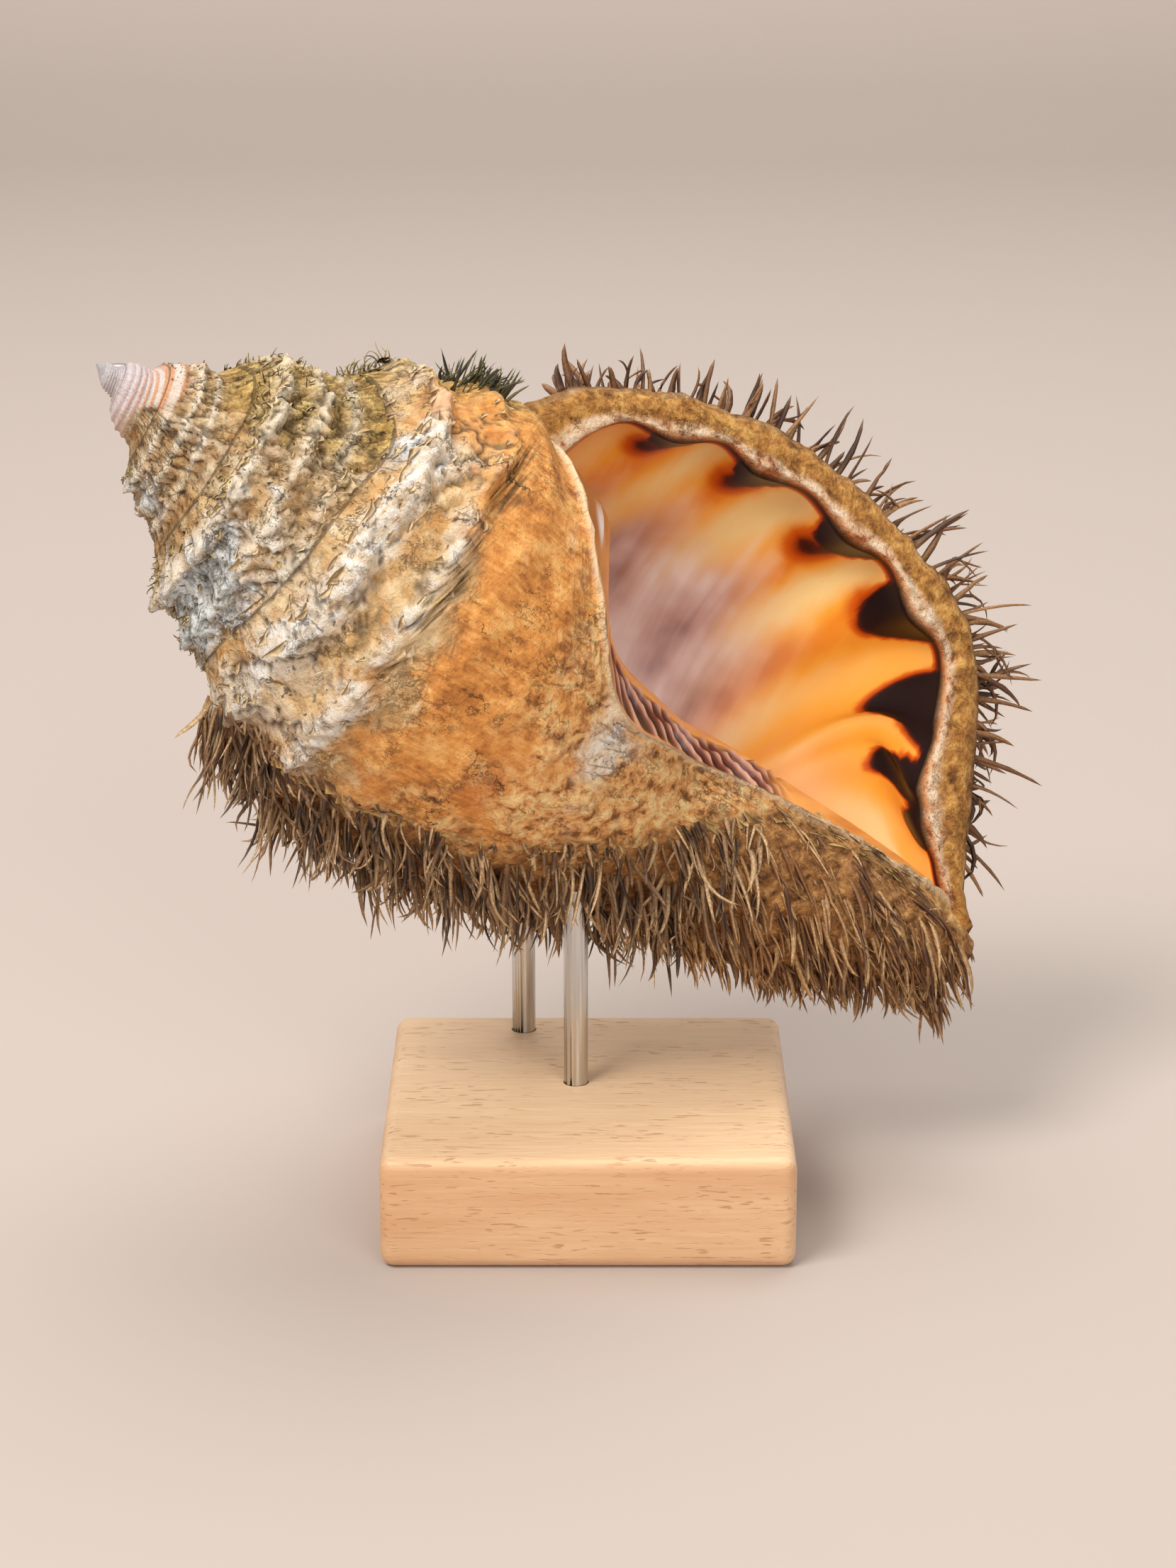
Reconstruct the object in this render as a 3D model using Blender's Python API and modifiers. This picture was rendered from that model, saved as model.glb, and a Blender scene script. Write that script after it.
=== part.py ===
"""A hairy triton shell held up on two steel pins in a beech block.

The shell is a helical loft: whorls wind down an axis from the apex, each one
bulging between two sutures, and the last one runs on to the canal's tip. The
outside, the lip's front face and the cavity behind it are one closed mesh.
The bristles are plain solids that stand a little off the shell and reach
as far as the bristles' tips.
"""

import math

import bmesh
import bpy
import numpy as np
from mathutils import Vector
from mathutils.bvhtree import BVHTree

MM = 0.001

# Block and pins, in metres.
BLOCK_WIDTH = 50 * MM
BLOCK_DEPTH = 50 * MM
BLOCK_HEIGHT = 14 * MM
BLOCK_ROUNDING = 1.8 * MM
PIN_RADIUS = 1.5 * MM
PIN_SIDES = 24
PIN_HOLE_CLEARANCE = 0.1 * MM
PIN_HOLE_DEPTH = 10 * MM
PINS = {"pin_front": (-1.5 * MM, 0.9 * MM), "pin_rear": (-8.3 * MM, 19.6 * MM)}
GAP = 0.3 * MM

# How the shell is held: its apex, and how its axis and its lip are turned.
APEX = Vector((-58.7, 2.0, 105.1)) * MM
AXIS_SLOPE = math.radians(38.4)
AXIS_YAW = math.radians(7.05)
LIP_ROLL = math.radians(-24.5)

# The shell's own sizes, in millimetres along its axis and out from it.
# Growth is counted in turns: 0 is the lip, and -1 is one turn before it.
SHELL_LENGTH = 133.5
TURNS = 5
SUTURE_HEIGHT_AT_LIP = 44.0
SUTURE_SLOPE = 0.437
SUTURE_CURVE = -0.06
SPIRE_CONE, LIP_CONE = 0.70, 0.60
BASE_TO_SUTURE = 2.9
BASE_RADIUS = 7.5
NECK_BLEND = 1.5
NECK_LEAN = math.radians(15)
VARIX_HEIGHT = 5.0
VARIX_START, VARIX_FULL = -0.045, -0.012
WALL = 2.0
CAVITY_TURNS = 0.72
CAVITY_CORNER_RATIO = 1.22
CAVITY_ROUNDNESS = 5
CANAL_END_WALL = 2.0

# (growth, widest radius), then (growth, height where the whorl meets the neck)
WIDEST = ((-5, 1.0), (-4, 2.75), (-3.46, 4.8), (-3, 6.4), (-2.46, 10.6), (-2, 13.4),
          (-1.46, 19.8), (-1, 24), (-0.7, 26.6), (-0.42, 28.6), (-0.2, 33), (0, 41.8))
BASE_HEIGHT = ((-1, 78), (-0.7, 88), (-0.42, 102), (0, 130))
# A whorl's outline, from its suture (0) to the neck (1): the body's and the lip's.
BODY_OUTLINE = ((0, 0), (0.09, 0.45), (0.18, 0.8), (0.3, 1), (0.43, 0.97),
                (0.57, 0.87), (0.7, 0.72), (0.8, 0.57), (0.9, 0.38), (1, 0.12))
LIP_OUTLINE = ((0, 0), (0.07, 0.1), (0.12, 0.33), (0.21, 0.64), (0.32, 0.87), (0.51, 1),
               (0.66, 0.94), (0.78, 0.84), (0.86, 0.63), (0.92, 0.38), (1, 0.08))
BODY_PEAK, LIP_PEAK = 0.3, 0.51
# The neck that carries the canal: (height, radius) and (height, shift to the lip)
NECK_RADIUS = ((0, 0.3), (30, 4), (60, 8), (85, 10.5), (100, 11.3), (115, 9.6),
               (124, 7), (130.5, 4.6), (133.5, 3.4))
NECK_SHIFT = ((0, 0), (60, -1), (85, -2.3), (100, -3), (115, -0.6), (124, 1.8), (133.5, 3.4))
# The lip's inner edge: (height, radius)
RIM = ((54, 22.5), (55.5, 28), (58, 32.5), (63, 36), (70, 39), (82, 41), (95, 40.5),
       (103, 38.3), (110.5, 34.5), (114.5, 28.5), (117, 20), (120, 16.5), (124.5, 11.5), (128, 8.8))
# The inner lip on the last whorl, (height, growth), and which way the mouth's flat side faces.
INNER_LIP = ((44, -1), (47, -0.975), (50.5, -0.92), (55, -0.862), (58.6, -0.824), (62.7, -0.793),
             (66.7, -0.762), (70.5, -0.74), (75.4, -0.731), (81.8, -0.747), (92, -0.792), (101, -0.828),
             (110, -0.862), (117, -0.875), (122, -0.9), (128, -0.955), (132, -1))
MOUTH_WAY = 0.089
MOUTH_REACHES = -1.3

# How finely the shell is meshed.
STEPS_PER_TURN = 36
WHORL_ROWS = 6
BASE_ROWS = 20
CAVITY_STEPS = 14

# The bristles: where each tract starts and ends, in turns and in millimetres
# down the axis, and how far its tips stand off the shell.
TRACTS = {
    "bristles_lip": ((-0.06, 0.0), (48, 131), 7.5),
    "bristles_back": ((-0.36, -0.11), (46, 125), 4.5),
    "bristles_belly": ((-0.56, -0.39), (44, 92), 8.5),
    "bristles_neck": ((-0.78, -0.42), (95.5, 131), 4.5),
}
TRACT_GAP = 0.45
TRACT_EDGE = 0.25

COLOURS = {
    "shell": ((0.40, 0.25, 0.12), 0.75, 0.0),
    "bristles": ((0.10, 0.065, 0.04), 0.9, 0.0),
    "steel": ((0.62, 0.61, 0.6), 0.3, 1.0),
    "beech": ((0.75, 0.47, 0.27), 0.55, 0.0),
}


def smooth(low, high, x):
    """0 below low, 1 above high, and an S between them."""
    t = np.clip((x - low) / (high - low), 0, 1)
    return t * t * (3 - 2 * t)


def through(points, x):
    """A smooth curve through (x, y) points that doesn't overshoot them."""
    xs, ys = np.array(points, float).T
    step = np.diff(xs)
    slope = np.diff(ys) / step
    tangent = np.concatenate([slope[:1], (slope[1:] + slope[:-1]) / 2, slope[-1:]])
    tangent[1:-1][slope[1:] * slope[:-1] <= 0] = 0
    x = np.clip(np.asarray(x, float), xs[0], xs[-1])
    k = np.clip(np.searchsorted(xs, x, side="right") - 1, 0, len(step) - 1)
    t = (x - xs[k]) / step[k]
    start = (1 + 2 * t) * (1 - t) ** 2 * ys[k] + t * (1 - t) ** 2 * step[k] * tangent[k]
    end = t * t * (3 - 2 * t) * ys[k + 1] - t * t * (1 - t) * step[k] * tangent[k + 1]
    return start + end


def suture_height(g):
    return SUTURE_HEIGHT_AT_LIP * np.exp(SUTURE_SLOPE * g + SUTURE_CURVE * g * g)


def suture_radius(g):
    cone = SPIRE_CONE + (LIP_CONE - SPIRE_CONE) * smooth(-1.6, 0, g)
    return suture_height(g) * cone


def base_height(g):
    return np.where(g < -1, BASE_TO_SUTURE * suture_height(g), through(BASE_HEIGHT, g))


def whorl_radius(g, h):
    """The bulging whorl alone, with no neck and no varix."""
    top, bottom = suture_height(g), base_height(g)
    t = (h - top) / (bottom - top)
    inside = np.clip(t, 0, 1)
    lip = smooth(-0.28, 0, g)
    share = through(BODY_OUTLINE, inside) * (1 - lip) + through(LIP_OUTLINE, inside) * lip
    peak = BODY_PEAK * (1 - lip) + LIP_PEAK * lip
    widest = through(WIDEST, g)
    foot = np.where(t < peak, suture_radius(g), np.minimum(BASE_RADIUS, 0.3 * widest))
    radius = foot + (widest - foot) * share
    return radius * np.exp(-6 * np.maximum(t - 1, 0))


def neck_radius(g, h):
    """The neck's outside, seen from the shell's axis."""
    shift, radius = through(NECK_SHIFT, h), through(NECK_RADIUS, h)
    round_from_lip = g * math.tau - NECK_LEAN
    across = shift * np.sin(round_from_lip)
    return shift * np.cos(round_from_lip) + np.sqrt(np.maximum(radius**2 - across**2, 0.01))


def whorl_and_neck(g, h, necked=1.0):
    """The whorl run smoothly into the neck."""
    whorl = whorl_radius(g, h)
    both = np.logaddexp(whorl / NECK_BLEND, neck_radius(g, h) / NECK_BLEND) * NECK_BLEND
    return whorl * (1 - necked) + both * necked


def pull(g, h, at_height, wanted, reach, necked):
    """What brings the surface to the wanted radius at one height, and fades from it."""
    missing = wanted - whorl_and_neck(g, at_height, necked)
    return missing * np.exp(-np.abs(h - at_height) / reach)


def grown_radius(g, h):
    """The shell's outside before the mouth is cut, from its own suture to the next one."""
    necked = smooth(-1.9, -1.2, g)
    top, bottom = suture_height(g), suture_height(g + 1)
    radius = whorl_and_neck(g, h, necked)
    radius = radius + pull(g, h, top, suture_radius(g), 0.06 * top, necked)
    wound_over = smooth(-0.72, -1, g)
    radius = radius + pull(g, h, bottom, suture_radius(g + 1), 0.1 * bottom, necked) * wound_over
    varix = smooth(VARIX_START, VARIX_FULL, g) * smooth(0, 8, h - top)
    varix = varix * smooth(SHELL_LENGTH + 1, SHELL_LENGTH - 14, h)
    return radius + VARIX_HEIGHT * varix


def mouth_side(g, h):
    """The flat side of the mouth, which cuts into the last whorl behind the inner lip."""
    edge = through(INNER_LIP, h)
    at_edge = grown_radius(edge, h) * np.cos((edge + 1 - MOUTH_WAY) * math.tau)
    flat = at_edge / np.maximum(np.cos((g + 1 - MOUTH_WAY) * math.tau), 0.05)
    return np.where((g < edge) & (g > MOUTH_REACHES), flat, np.inf)


def outside_radius(g, h):
    """The shell's outside, with the last whorl cut flat at the mouth."""
    return np.minimum(grown_radius(g, h), mouth_side(g, h))


def cavity_section(g, v):
    """Heights and radii of the cavity's inner and outer walls, v running 0 to 1 down it."""
    corner = CAVITY_CORNER_RATIO * suture_height(g)
    canal = base_height(g) - CANAL_END_WALL - 1.5 * WALL * smooth(0, -0.1, g)
    h = corner + (canal - corner) * v
    inner = np.minimum(whorl_and_neck(g - 1, h), mouth_side(g - 1, h))
    outer = whorl_and_neck(g, h)
    room = np.maximum(outer - WALL - inner, 0.25 * (outer - inner))
    rounded = (1 - np.abs(2 * v - 1) ** CAVITY_ROUNDNESS) ** (1 / CAVITY_ROUNDNESS)
    at_lip = smooth(-0.07, 0, g)
    rim = through(RIM, RIM[0][0] + (RIM[-1][0] - RIM[0][0]) * v)
    return h, inner, (inner + room * rounded) * (1 - at_lip) + rim * at_lip


def place(radius, g, h):
    """Points in metres, in the part's frame, from the shell's own coordinates."""
    slope, yaw = math.cos(AXIS_SLOPE), AXIS_YAW
    axis = Vector((slope * math.cos(yaw), slope * math.sin(yaw), -math.sin(AXIS_SLOPE)))
    upright = Vector((0, 0, 1)) - axis.z * axis
    upright.normalize()
    lip = upright * math.cos(LIP_ROLL) + axis.cross(upright) * math.sin(LIP_ROLL)
    growing = axis.cross(lip)
    radius, g, h = (x[..., None] for x in np.broadcast_arrays(radius, g, h))
    out = np.cos(g * math.tau) * np.array(lip) + np.sin(g * math.tau) * np.array(growing)
    return np.array(APEX) + (h * np.array(axis) + radius * out) * MM


class Loft:
    """Corners and faces of a mesh that is made row by row."""

    def __init__(self):
        self.corners, self.faces = [], []

    def add(self, points):
        """Adds points and gives their numbers, in the same layout."""
        points = np.asarray(points, float)
        first = len(self.corners)
        self.corners.extend(points.reshape(-1, 3).tolist())
        return first + np.arange(points[..., 0].size).reshape(points.shape[:-1])

    def skin(self, rows, flip=False):
        """Quads between neighbours in a grid of corner numbers."""
        rows = np.asarray(rows)
        quads = np.stack([rows[:-1, :-1], rows[1:, :-1], rows[1:, 1:], rows[:-1, 1:]], -1)
        quads = quads.reshape(-1, 4)
        for quad in quads[:, ::-1] if flip else quads:
            self.faces.append(list(dict.fromkeys(quad.tolist())))

    def fan(self, ring, tip):
        for a, b in zip(ring, ring[1:]):
            self.faces.append([int(a), int(b), int(tip)])


def shell_heights(g):
    """Heights down one column: the whorl's rows, then the base's if it shows."""
    whorl = np.linspace(0, 1, WHORL_ROWS + 1)
    top, bottom = suture_height(g), suture_height(g + 1)
    down_whorl = top + (bottom - top) * whorl
    base = 1 - (1 - np.linspace(0, 1, BASE_ROWS + 1)) ** 1.3
    down_base = bottom + (SHELL_LENGTH - bottom) * base
    return np.concatenate([down_whorl, down_base[1:]])


def shell_loft():
    """The whole shell, and the corner numbers of its last turn's outside."""
    loft = Loft()
    columns = TURNS * STEPS_PER_TURN
    last = columns - STEPS_PER_TURN
    growth = np.arange(-columns, 1) / STEPS_PER_TURN
    heights = np.array([shell_heights(g) for g in growth])
    points = place(outside_radius(growth[:, None], heights), growth[:, None], heights)

    # Each whorl ends on the suture that the next one starts from.
    whorls = loft.add(points[:, :WHORL_ROWS])
    following = whorls[STEPS_PER_TURN:, :1]
    loft.skin(np.hstack([whorls[: last + 1], following]))
    base = loft.add(points[last + 1 :, WHORL_ROWS:-1])
    start = loft.add(points[last, WHORL_ROWS + 1 : -1])
    canal_tip = loft.add(points[last + 1 :, -1])
    outside = np.hstack([whorls[last + 1 :], base, canal_tip[:, None]])
    parietal = np.concatenate([[whorls[-1, 0]], start, canal_tip[-1:]])
    first_column = np.concatenate([whorls[last], parietal])
    loft.skin(np.vstack([first_column, outside]))
    middle_of_tip = loft.add(place(0.0, 0.0, SHELL_LENGTH) * 0.2 + points[last + 1 :, -1].mean(0) * 0.8)
    loft.fan(np.append(canal_tip, canal_tip[0]), middle_of_tip)
    apex = loft.add(place(0.0, 0.0, 0.0))
    first_turn = whorls[: STEPS_PER_TURN + 1, 0]
    loft.fan(np.concatenate([first_turn, whorls[0, ::-1]]), apex)

    # The lip's face and the cavity start from the outline at growth 0.
    outline = np.concatenate([outside[-1], parietal[-2:0:-1]])
    v_out = (heights[-1] - heights[-1, 0]) / (heights[-1, -1] - heights[-1, 0])
    v_in = v_out[WHORL_ROWS + 1 : -1]
    v_in = (v_in - v_out[WHORL_ROWS]) / (1 - v_out[WHORL_ROWS])
    rings = [outline]
    for step in range(CAVITY_STEPS + 1):
        depth = CAVITY_TURNS * (step / CAVITY_STEPS) ** 1.3
        h, _, outer = cavity_section(-depth, v_out)
        h_in, inner, _ = cavity_section(-depth, v_in[::-1])
        wall = place(outer, np.full_like(h, -depth), h)
        columella = place(inner, np.full_like(h_in, -depth - 0.012), h_in)
        rings.append(loft.add(np.concatenate([wall, columella])))
    rings = np.array([np.append(ring, ring[0]) for ring in rings])
    loft.skin(rings)
    loft.faces.append(rings[-1, :-1].tolist())
    return loft, np.vstack([first_column, outside]), growth[last:], heights[last:]


def finish(name, mesh, material):
    """A smooth-shaded object of this mesh, with its material, in the part's collection."""
    mesh.name = name
    obj = bpy.data.objects.new(name, mesh)
    mesh.materials.append(MATERIALS[material])
    mesh.shade_smooth()
    mesh.set_sharp_from_angle(angle=math.radians(40))
    PARTS.objects.link(obj)
    return obj


def loft_mesh(loft):
    """A closed mesh from a loft, with its faces turned outwards."""
    mesh = bpy.data.meshes.new("loft")
    mesh.from_pydata(loft.corners, [], loft.faces)
    bm = bmesh.new()
    bm.from_mesh(mesh)
    bmesh.ops.recalc_face_normals(bm, faces=bm.faces)
    bmesh.ops.triangulate(bm, faces=bm.faces)
    bm.to_mesh(mesh)
    bm.free()
    return mesh


def add_bristles(name, shell, outside, growth, heights):
    """A soft solid over one tract, from just off the shell to the bristles' tips."""
    (first, last), (top, bottom), length = TRACTS[name]
    columns = np.flatnonzero((growth >= first - 1e-6) & (growth <= last + 1e-6))
    middle = heights[columns].mean(axis=0)
    rows = np.flatnonzero((middle >= top) & (middle <= bottom))
    under = outside[np.ix_(columns, rows)]
    roots = np.array([shell.vertices[i].co for i in under.flat])
    normals = np.array([shell.vertices[i].normal for i in under.flat])
    across = np.linspace(0, 1, len(columns))[:, None]
    along = np.linspace(0, 1, len(rows))[None]
    full = (np.sin(math.pi * across) * np.sin(math.pi * along)) ** 0.3
    stand = length * (TRACT_EDGE + (1 - TRACT_EDGE) * full)
    loft = Loft()
    inner = loft.add((roots + normals * TRACT_GAP * MM).reshape(*under.shape, 3))
    outer = roots + normals * (TRACT_GAP + stand.reshape(-1, 1)) * MM
    outer = loft.add(outer.reshape(*under.shape, 3))
    loft.skin(inner, flip=True)
    loft.skin(outer)
    edge_in = np.concatenate([inner[0], inner[1:, -1], inner[-1, -2::-1], inner[-2::-1, 0]])
    edge_out = np.concatenate([outer[0], outer[1:, -1], outer[-1, -2::-1], outer[-2::-1, 0]])
    loft.skin(np.array([edge_in, edge_out]))
    return finish(name, loft_mesh(loft), "bristles")


def add_pin(name, x, y, shell_tree):
    """A round pin from its hole in the block up to the shell, cut to the shell's slope."""
    foot = BLOCK_HEIGHT - PIN_HOLE_DEPTH + GAP
    bpy.ops.mesh.primitive_cylinder_add(
        vertices=PIN_SIDES, radius=PIN_RADIUS, depth=0.01, end_fill_type="TRIFAN",
        location=(0, 0, 0))
    pin = bpy.context.object
    mesh = pin.data.copy()
    bpy.data.objects.remove(pin)
    for corner in mesh.vertices:
        at_top = corner.co.z > 0
        corner.co += Vector((x, y, 0))
        corner.co.z = foot
        if at_top:
            up = Vector((corner.co.x, corner.co.y, BLOCK_HEIGHT))
            hit = shell_tree.ray_cast(up, Vector((0, 0, 1)))[0]
            corner.co.z = hit.z - GAP
    return finish(name, mesh, "steel")


def drill(obj, pin_name, radius, bottom, top):
    """Cuts a round hole for a pin through an object, between two heights."""
    x, y = PINS[pin_name]
    bpy.ops.mesh.primitive_cylinder_add(
        vertices=PIN_SIDES, radius=radius, depth=top - bottom, location=(x, y, (top + bottom) / 2))
    hole = bpy.context.object
    hole.name = f"hole_for_{pin_name}_in_{obj.name}"
    hole.hide_render = True
    hole.display_type = "WIRE"
    for collection in list(hole.users_collection):
        collection.objects.unlink(hole)
    CUTTERS.objects.link(hole)
    cut = obj.modifiers.new(f"Hole for {pin_name}", "BOOLEAN")
    cut.operation = "DIFFERENCE"
    cut.solver = "EXACT"
    cut.object = hole


def add_block():
    """A square block with rounded edges and a blind hole for each pin."""
    bpy.ops.mesh.primitive_cube_add(size=1, location=(0, 0, 0))
    cube = bpy.context.object
    mesh = cube.data.copy()
    bpy.data.objects.remove(cube)
    for corner in mesh.vertices:
        corner.co.x *= BLOCK_WIDTH
        corner.co.y *= BLOCK_DEPTH
        corner.co.z = (corner.co.z + 0.5) * BLOCK_HEIGHT
    block = finish("block", mesh, "beech")
    rounding = block.modifiers.new("Rounded edges", "BEVEL")
    rounding.width = BLOCK_ROUNDING
    rounding.segments = 4
    for name in PINS:
        floor = BLOCK_HEIGHT - PIN_HOLE_DEPTH
        drill(block, name, PIN_RADIUS + PIN_HOLE_CLEARANCE, floor, BLOCK_HEIGHT * 2)


for old in list(bpy.data.objects):
    bpy.data.objects.remove(old)

PARTS = bpy.data.collections.new("triton_shell_on_stand")
CUTTERS = bpy.data.collections.new("cutters")
bpy.context.scene.collection.children.link(PARTS)
bpy.context.scene.collection.children.link(CUTTERS)

MATERIALS = {}
for material_name, (colour, roughness, metallic) in COLOURS.items():
    made = bpy.data.materials.new(material_name)
    made.use_nodes = True
    shader = made.node_tree.nodes["Principled BSDF"]
    shader.inputs["Base Color"].default_value = (*colour, 1)
    shader.inputs["Roughness"].default_value = roughness
    shader.inputs["Metallic"].default_value = metallic
    MATERIALS[material_name] = made

shell_parts, last_turn, last_growth, last_heights = shell_loft()
shell_mesh = loft_mesh(shell_parts)
finish("shell", shell_mesh, "shell")
tracts = {name: add_bristles(name, shell_mesh, last_turn, last_growth, last_heights)
          for name in TRACTS}
for pin_name in PINS:
    drill(tracts["bristles_belly"], pin_name, PIN_RADIUS + GAP, BLOCK_HEIGHT, APEX.z)

corners = [corner.co for corner in shell_mesh.vertices]
faces = [tuple(face.vertices) for face in shell_mesh.polygons]
tree = BVHTree.FromPolygons(corners, faces)
for pin_name, (pin_x, pin_y) in PINS.items():
    add_pin(pin_name, pin_x, pin_y, tree)
add_block()
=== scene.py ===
import math

import bpy
import numpy as np
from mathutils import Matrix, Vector, noise


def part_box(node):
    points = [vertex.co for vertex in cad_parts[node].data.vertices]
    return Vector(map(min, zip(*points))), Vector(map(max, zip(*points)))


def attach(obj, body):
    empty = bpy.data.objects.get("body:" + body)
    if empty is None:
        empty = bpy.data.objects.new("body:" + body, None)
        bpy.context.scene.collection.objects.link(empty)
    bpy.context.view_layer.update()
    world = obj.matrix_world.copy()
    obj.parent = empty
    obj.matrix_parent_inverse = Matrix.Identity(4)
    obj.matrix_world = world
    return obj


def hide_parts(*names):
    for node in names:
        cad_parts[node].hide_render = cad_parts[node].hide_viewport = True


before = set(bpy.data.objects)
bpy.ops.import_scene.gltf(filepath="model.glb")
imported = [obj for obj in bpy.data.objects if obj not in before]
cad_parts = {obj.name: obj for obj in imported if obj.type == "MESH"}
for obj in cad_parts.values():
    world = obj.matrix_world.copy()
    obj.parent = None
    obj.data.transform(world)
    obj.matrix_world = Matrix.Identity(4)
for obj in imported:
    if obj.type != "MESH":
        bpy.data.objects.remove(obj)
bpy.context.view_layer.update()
MM = 0.001

# ---------------------------------------------------------------- camera, floor and light
# A long lens looks a little down on the stand from in front. The stand rests on
# a pale floor that curves up into a backdrop, under three soft lamps and a pale sky.
block_low, block_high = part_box("block")
CAMERA_PLACE = (0.0, -0.4583, 0.1952)
CAMERA_PITCH = math.radians(17.2)
CAMERA_LENS = 90.2
FLOOR_WIDTH, FLOOR_LENGTH, FLOOR_IN_FRONT = 6, 4.0, 1.6
BEND_START, BEND_RADIUS = 0.9, 0.5
FLOOR_COLOUR = (0.52, 0.44, 0.388, 1)
BACKDROP_COLOUR = (0.98, 0.835, 0.725, 1)
BACKDROP_FROM = 0.14
LAMPS_AIM = Vector((0, 0, 0.07))

bpy.ops.object.select_all(action="DESELECT")
bpy.ops.object.camera_add(location=CAMERA_PLACE, rotation=(math.pi / 2 - CAMERA_PITCH, 0, 0))
camera = bpy.context.object
camera.data.lens = CAMERA_LENS
camera.data.sensor_width = 36
bpy.context.scene.camera = camera

bpy.ops.mesh.primitive_grid_add(x_subdivisions=2, y_subdivisions=40, size=1, location=(0, 0, 0))
floor = bpy.context.object
floor.name = "floor"
for corner in floor.data.vertices:
    run = (corner.co.y + 0.5) * FLOOR_LENGTH - FLOOR_IN_FRONT
    bend = max(0.0, run - BEND_START)
    turned = min(bend / BEND_RADIUS, math.pi / 2)
    corner.co.x *= FLOOR_WIDTH
    corner.co.y = min(run, BEND_START) + BEND_RADIUS * math.sin(turned)
    corner.co.z = BEND_RADIUS * (1 - math.cos(turned))
    corner.co.z += max(0.0, bend - BEND_RADIUS * math.pi / 2) + block_low[2]
floor.data.shade_smooth()
paper = bpy.data.materials.new("floor_paper")
paper.use_nodes = True
paper_shader = paper.node_tree.nodes["Principled BSDF"]
paper_place = paper.node_tree.nodes.new("ShaderNodeTexCoord")
paper_way = paper.node_tree.nodes.new("ShaderNodeSeparateXYZ")
paper_shade = paper.node_tree.nodes.new("ShaderNodeValToRGB")
paper_shade.color_ramp.elements[0].color = FLOOR_COLOUR
paper_shade.color_ramp.elements[1].color = BACKDROP_COLOUR
paper_shade.color_ramp.elements[1].position = BACKDROP_FROM
paper.node_tree.links.new(paper_place.outputs["Object"], paper_way.inputs["Vector"])
paper.node_tree.links.new(paper_way.outputs["Z"], paper_shade.inputs["Fac"])
paper.node_tree.links.new(paper_shade.outputs["Color"], paper_shader.inputs["Base Color"])
paper_shader.inputs["Roughness"].default_value = 0.9
floor.data.materials.append(paper)


def add_lamp(name, place, size, watts, tint=(1, 1, 1)):
    """A square soft lamp that faces the shell."""
    aim = LAMPS_AIM - Vector(place)
    bpy.ops.object.light_add(type="AREA", location=place)
    lamp = bpy.context.object
    lamp.name = name
    lamp.rotation_euler = aim.to_track_quat("-Z", "Y").to_euler()
    lamp.data.size = size
    lamp.data.energy = watts
    lamp.data.color = tint


add_lamp("key_lamp", (-0.50, -0.50, 0.92), 0.5, 9.5, (1, 0.98, 0.95))
add_lamp("fill_lamp", (0.40, -1.0, 0.50), 0.6, 4.6, (0.98, 0.99, 1))
add_lamp("back_lamp", (0.05, 0.45, 0.95), 0.8, 7.0)
sky = bpy.data.worlds.new("pale_sky")
sky.use_nodes = True
sky.node_tree.nodes["Background"].inputs["Color"].default_value = (1, 0.985, 0.96, 1)
sky.node_tree.nodes["Background"].inputs["Strength"].default_value = 0.36
bpy.context.scene.world = sky
bpy.context.scene.view_settings.view_transform = "Standard"


# ---------------------------------------------------------------- shell
# The grown shell: chalky whorls under a rough brown skin, a thick lip with a
# crusty edge, and a glossy orange mouth. It is lofted column by column along
# its growth, in the shell's own millimetres, and set in the stand's frame.
APEX = Vector((-58.7, 2.0, 105.1)) * MM
AXIS_SLOPE, AXIS_YAW = math.radians(38.4), math.radians(7.05)
LIP_ROLL, NECK_LEAN = math.radians(-24.5), math.radians(15)
SHELL_LENGTH, TURNS = 133.5, 5
SEAM_HEIGHT, SEAM_SLOPE, SEAM_CURVE = 44.0, 0.437, 0.06
BASE_TO_SEAM, BASE_RADIUS, NECK_BLEND = 2.9, 7.5, 1.5
VARIX_HEIGHT = 5.0
WALL, CALLUS, CANAL_END_WALL = 2.0, 0.8, 2.0
CAVITY_TURNS, CAVITY_ROUNDNESS, CAVITY_CORNER = 0.72, 5, 1.22
CAVITY_REACH, FLUTE_HEIGHT, FLUTE_REACH = 38, 1.9, 34
LIP_SWELL, LIP_EDGE_RIDGE = 1.3, 0.8
COLUMNS, WHORL_ROWS, BASE_ROWS = 264, 36, 108
LIP_RINGS, CAVITY_RINGS = 9, 56
WIDEST = ((-5, 1.0), (-4, 2.75), (-3.46, 4.8), (-3, 6.4), (-2.46, 10.6), (-2, 13.4),
          (-1.46, 19.8), (-1, 24), (-0.7, 26.6), (-0.42, 28.6), (-0.2, 33), (0, 41.8))
BASE_HEIGHT = ((-1, 78), (-0.7, 88), (-0.42, 102), (0, 130))
BODY_OUTLINE = ((0, 0), (0.09, 0.45), (0.18, 0.8), (0.3, 1), (0.43, 0.97),
                (0.57, 0.87), (0.7, 0.72), (0.8, 0.57), (0.9, 0.38), (1, 0.12))
LIP_OUTLINE = ((0, 0), (0.07, 0.1), (0.12, 0.33), (0.21, 0.64), (0.32, 0.87), (0.51, 1),
               (0.66, 0.94), (0.78, 0.84), (0.86, 0.63), (0.92, 0.38), (1, 0.08))
BODY_PEAK, LIP_PEAK = 0.3, 0.51
NECK_RADIUS = ((0, 0.3), (30, 4), (60, 8), (85, 10.5), (100, 11.3), (115, 9.6),
               (124, 7), (130.5, 4.6), (133.5, 3.4))
NECK_SHIFT = ((0, 0), (60, -1), (85, -2.3), (100, -3), (115, -0.6), (124, 1.8), (133.5, 3.4))
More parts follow.
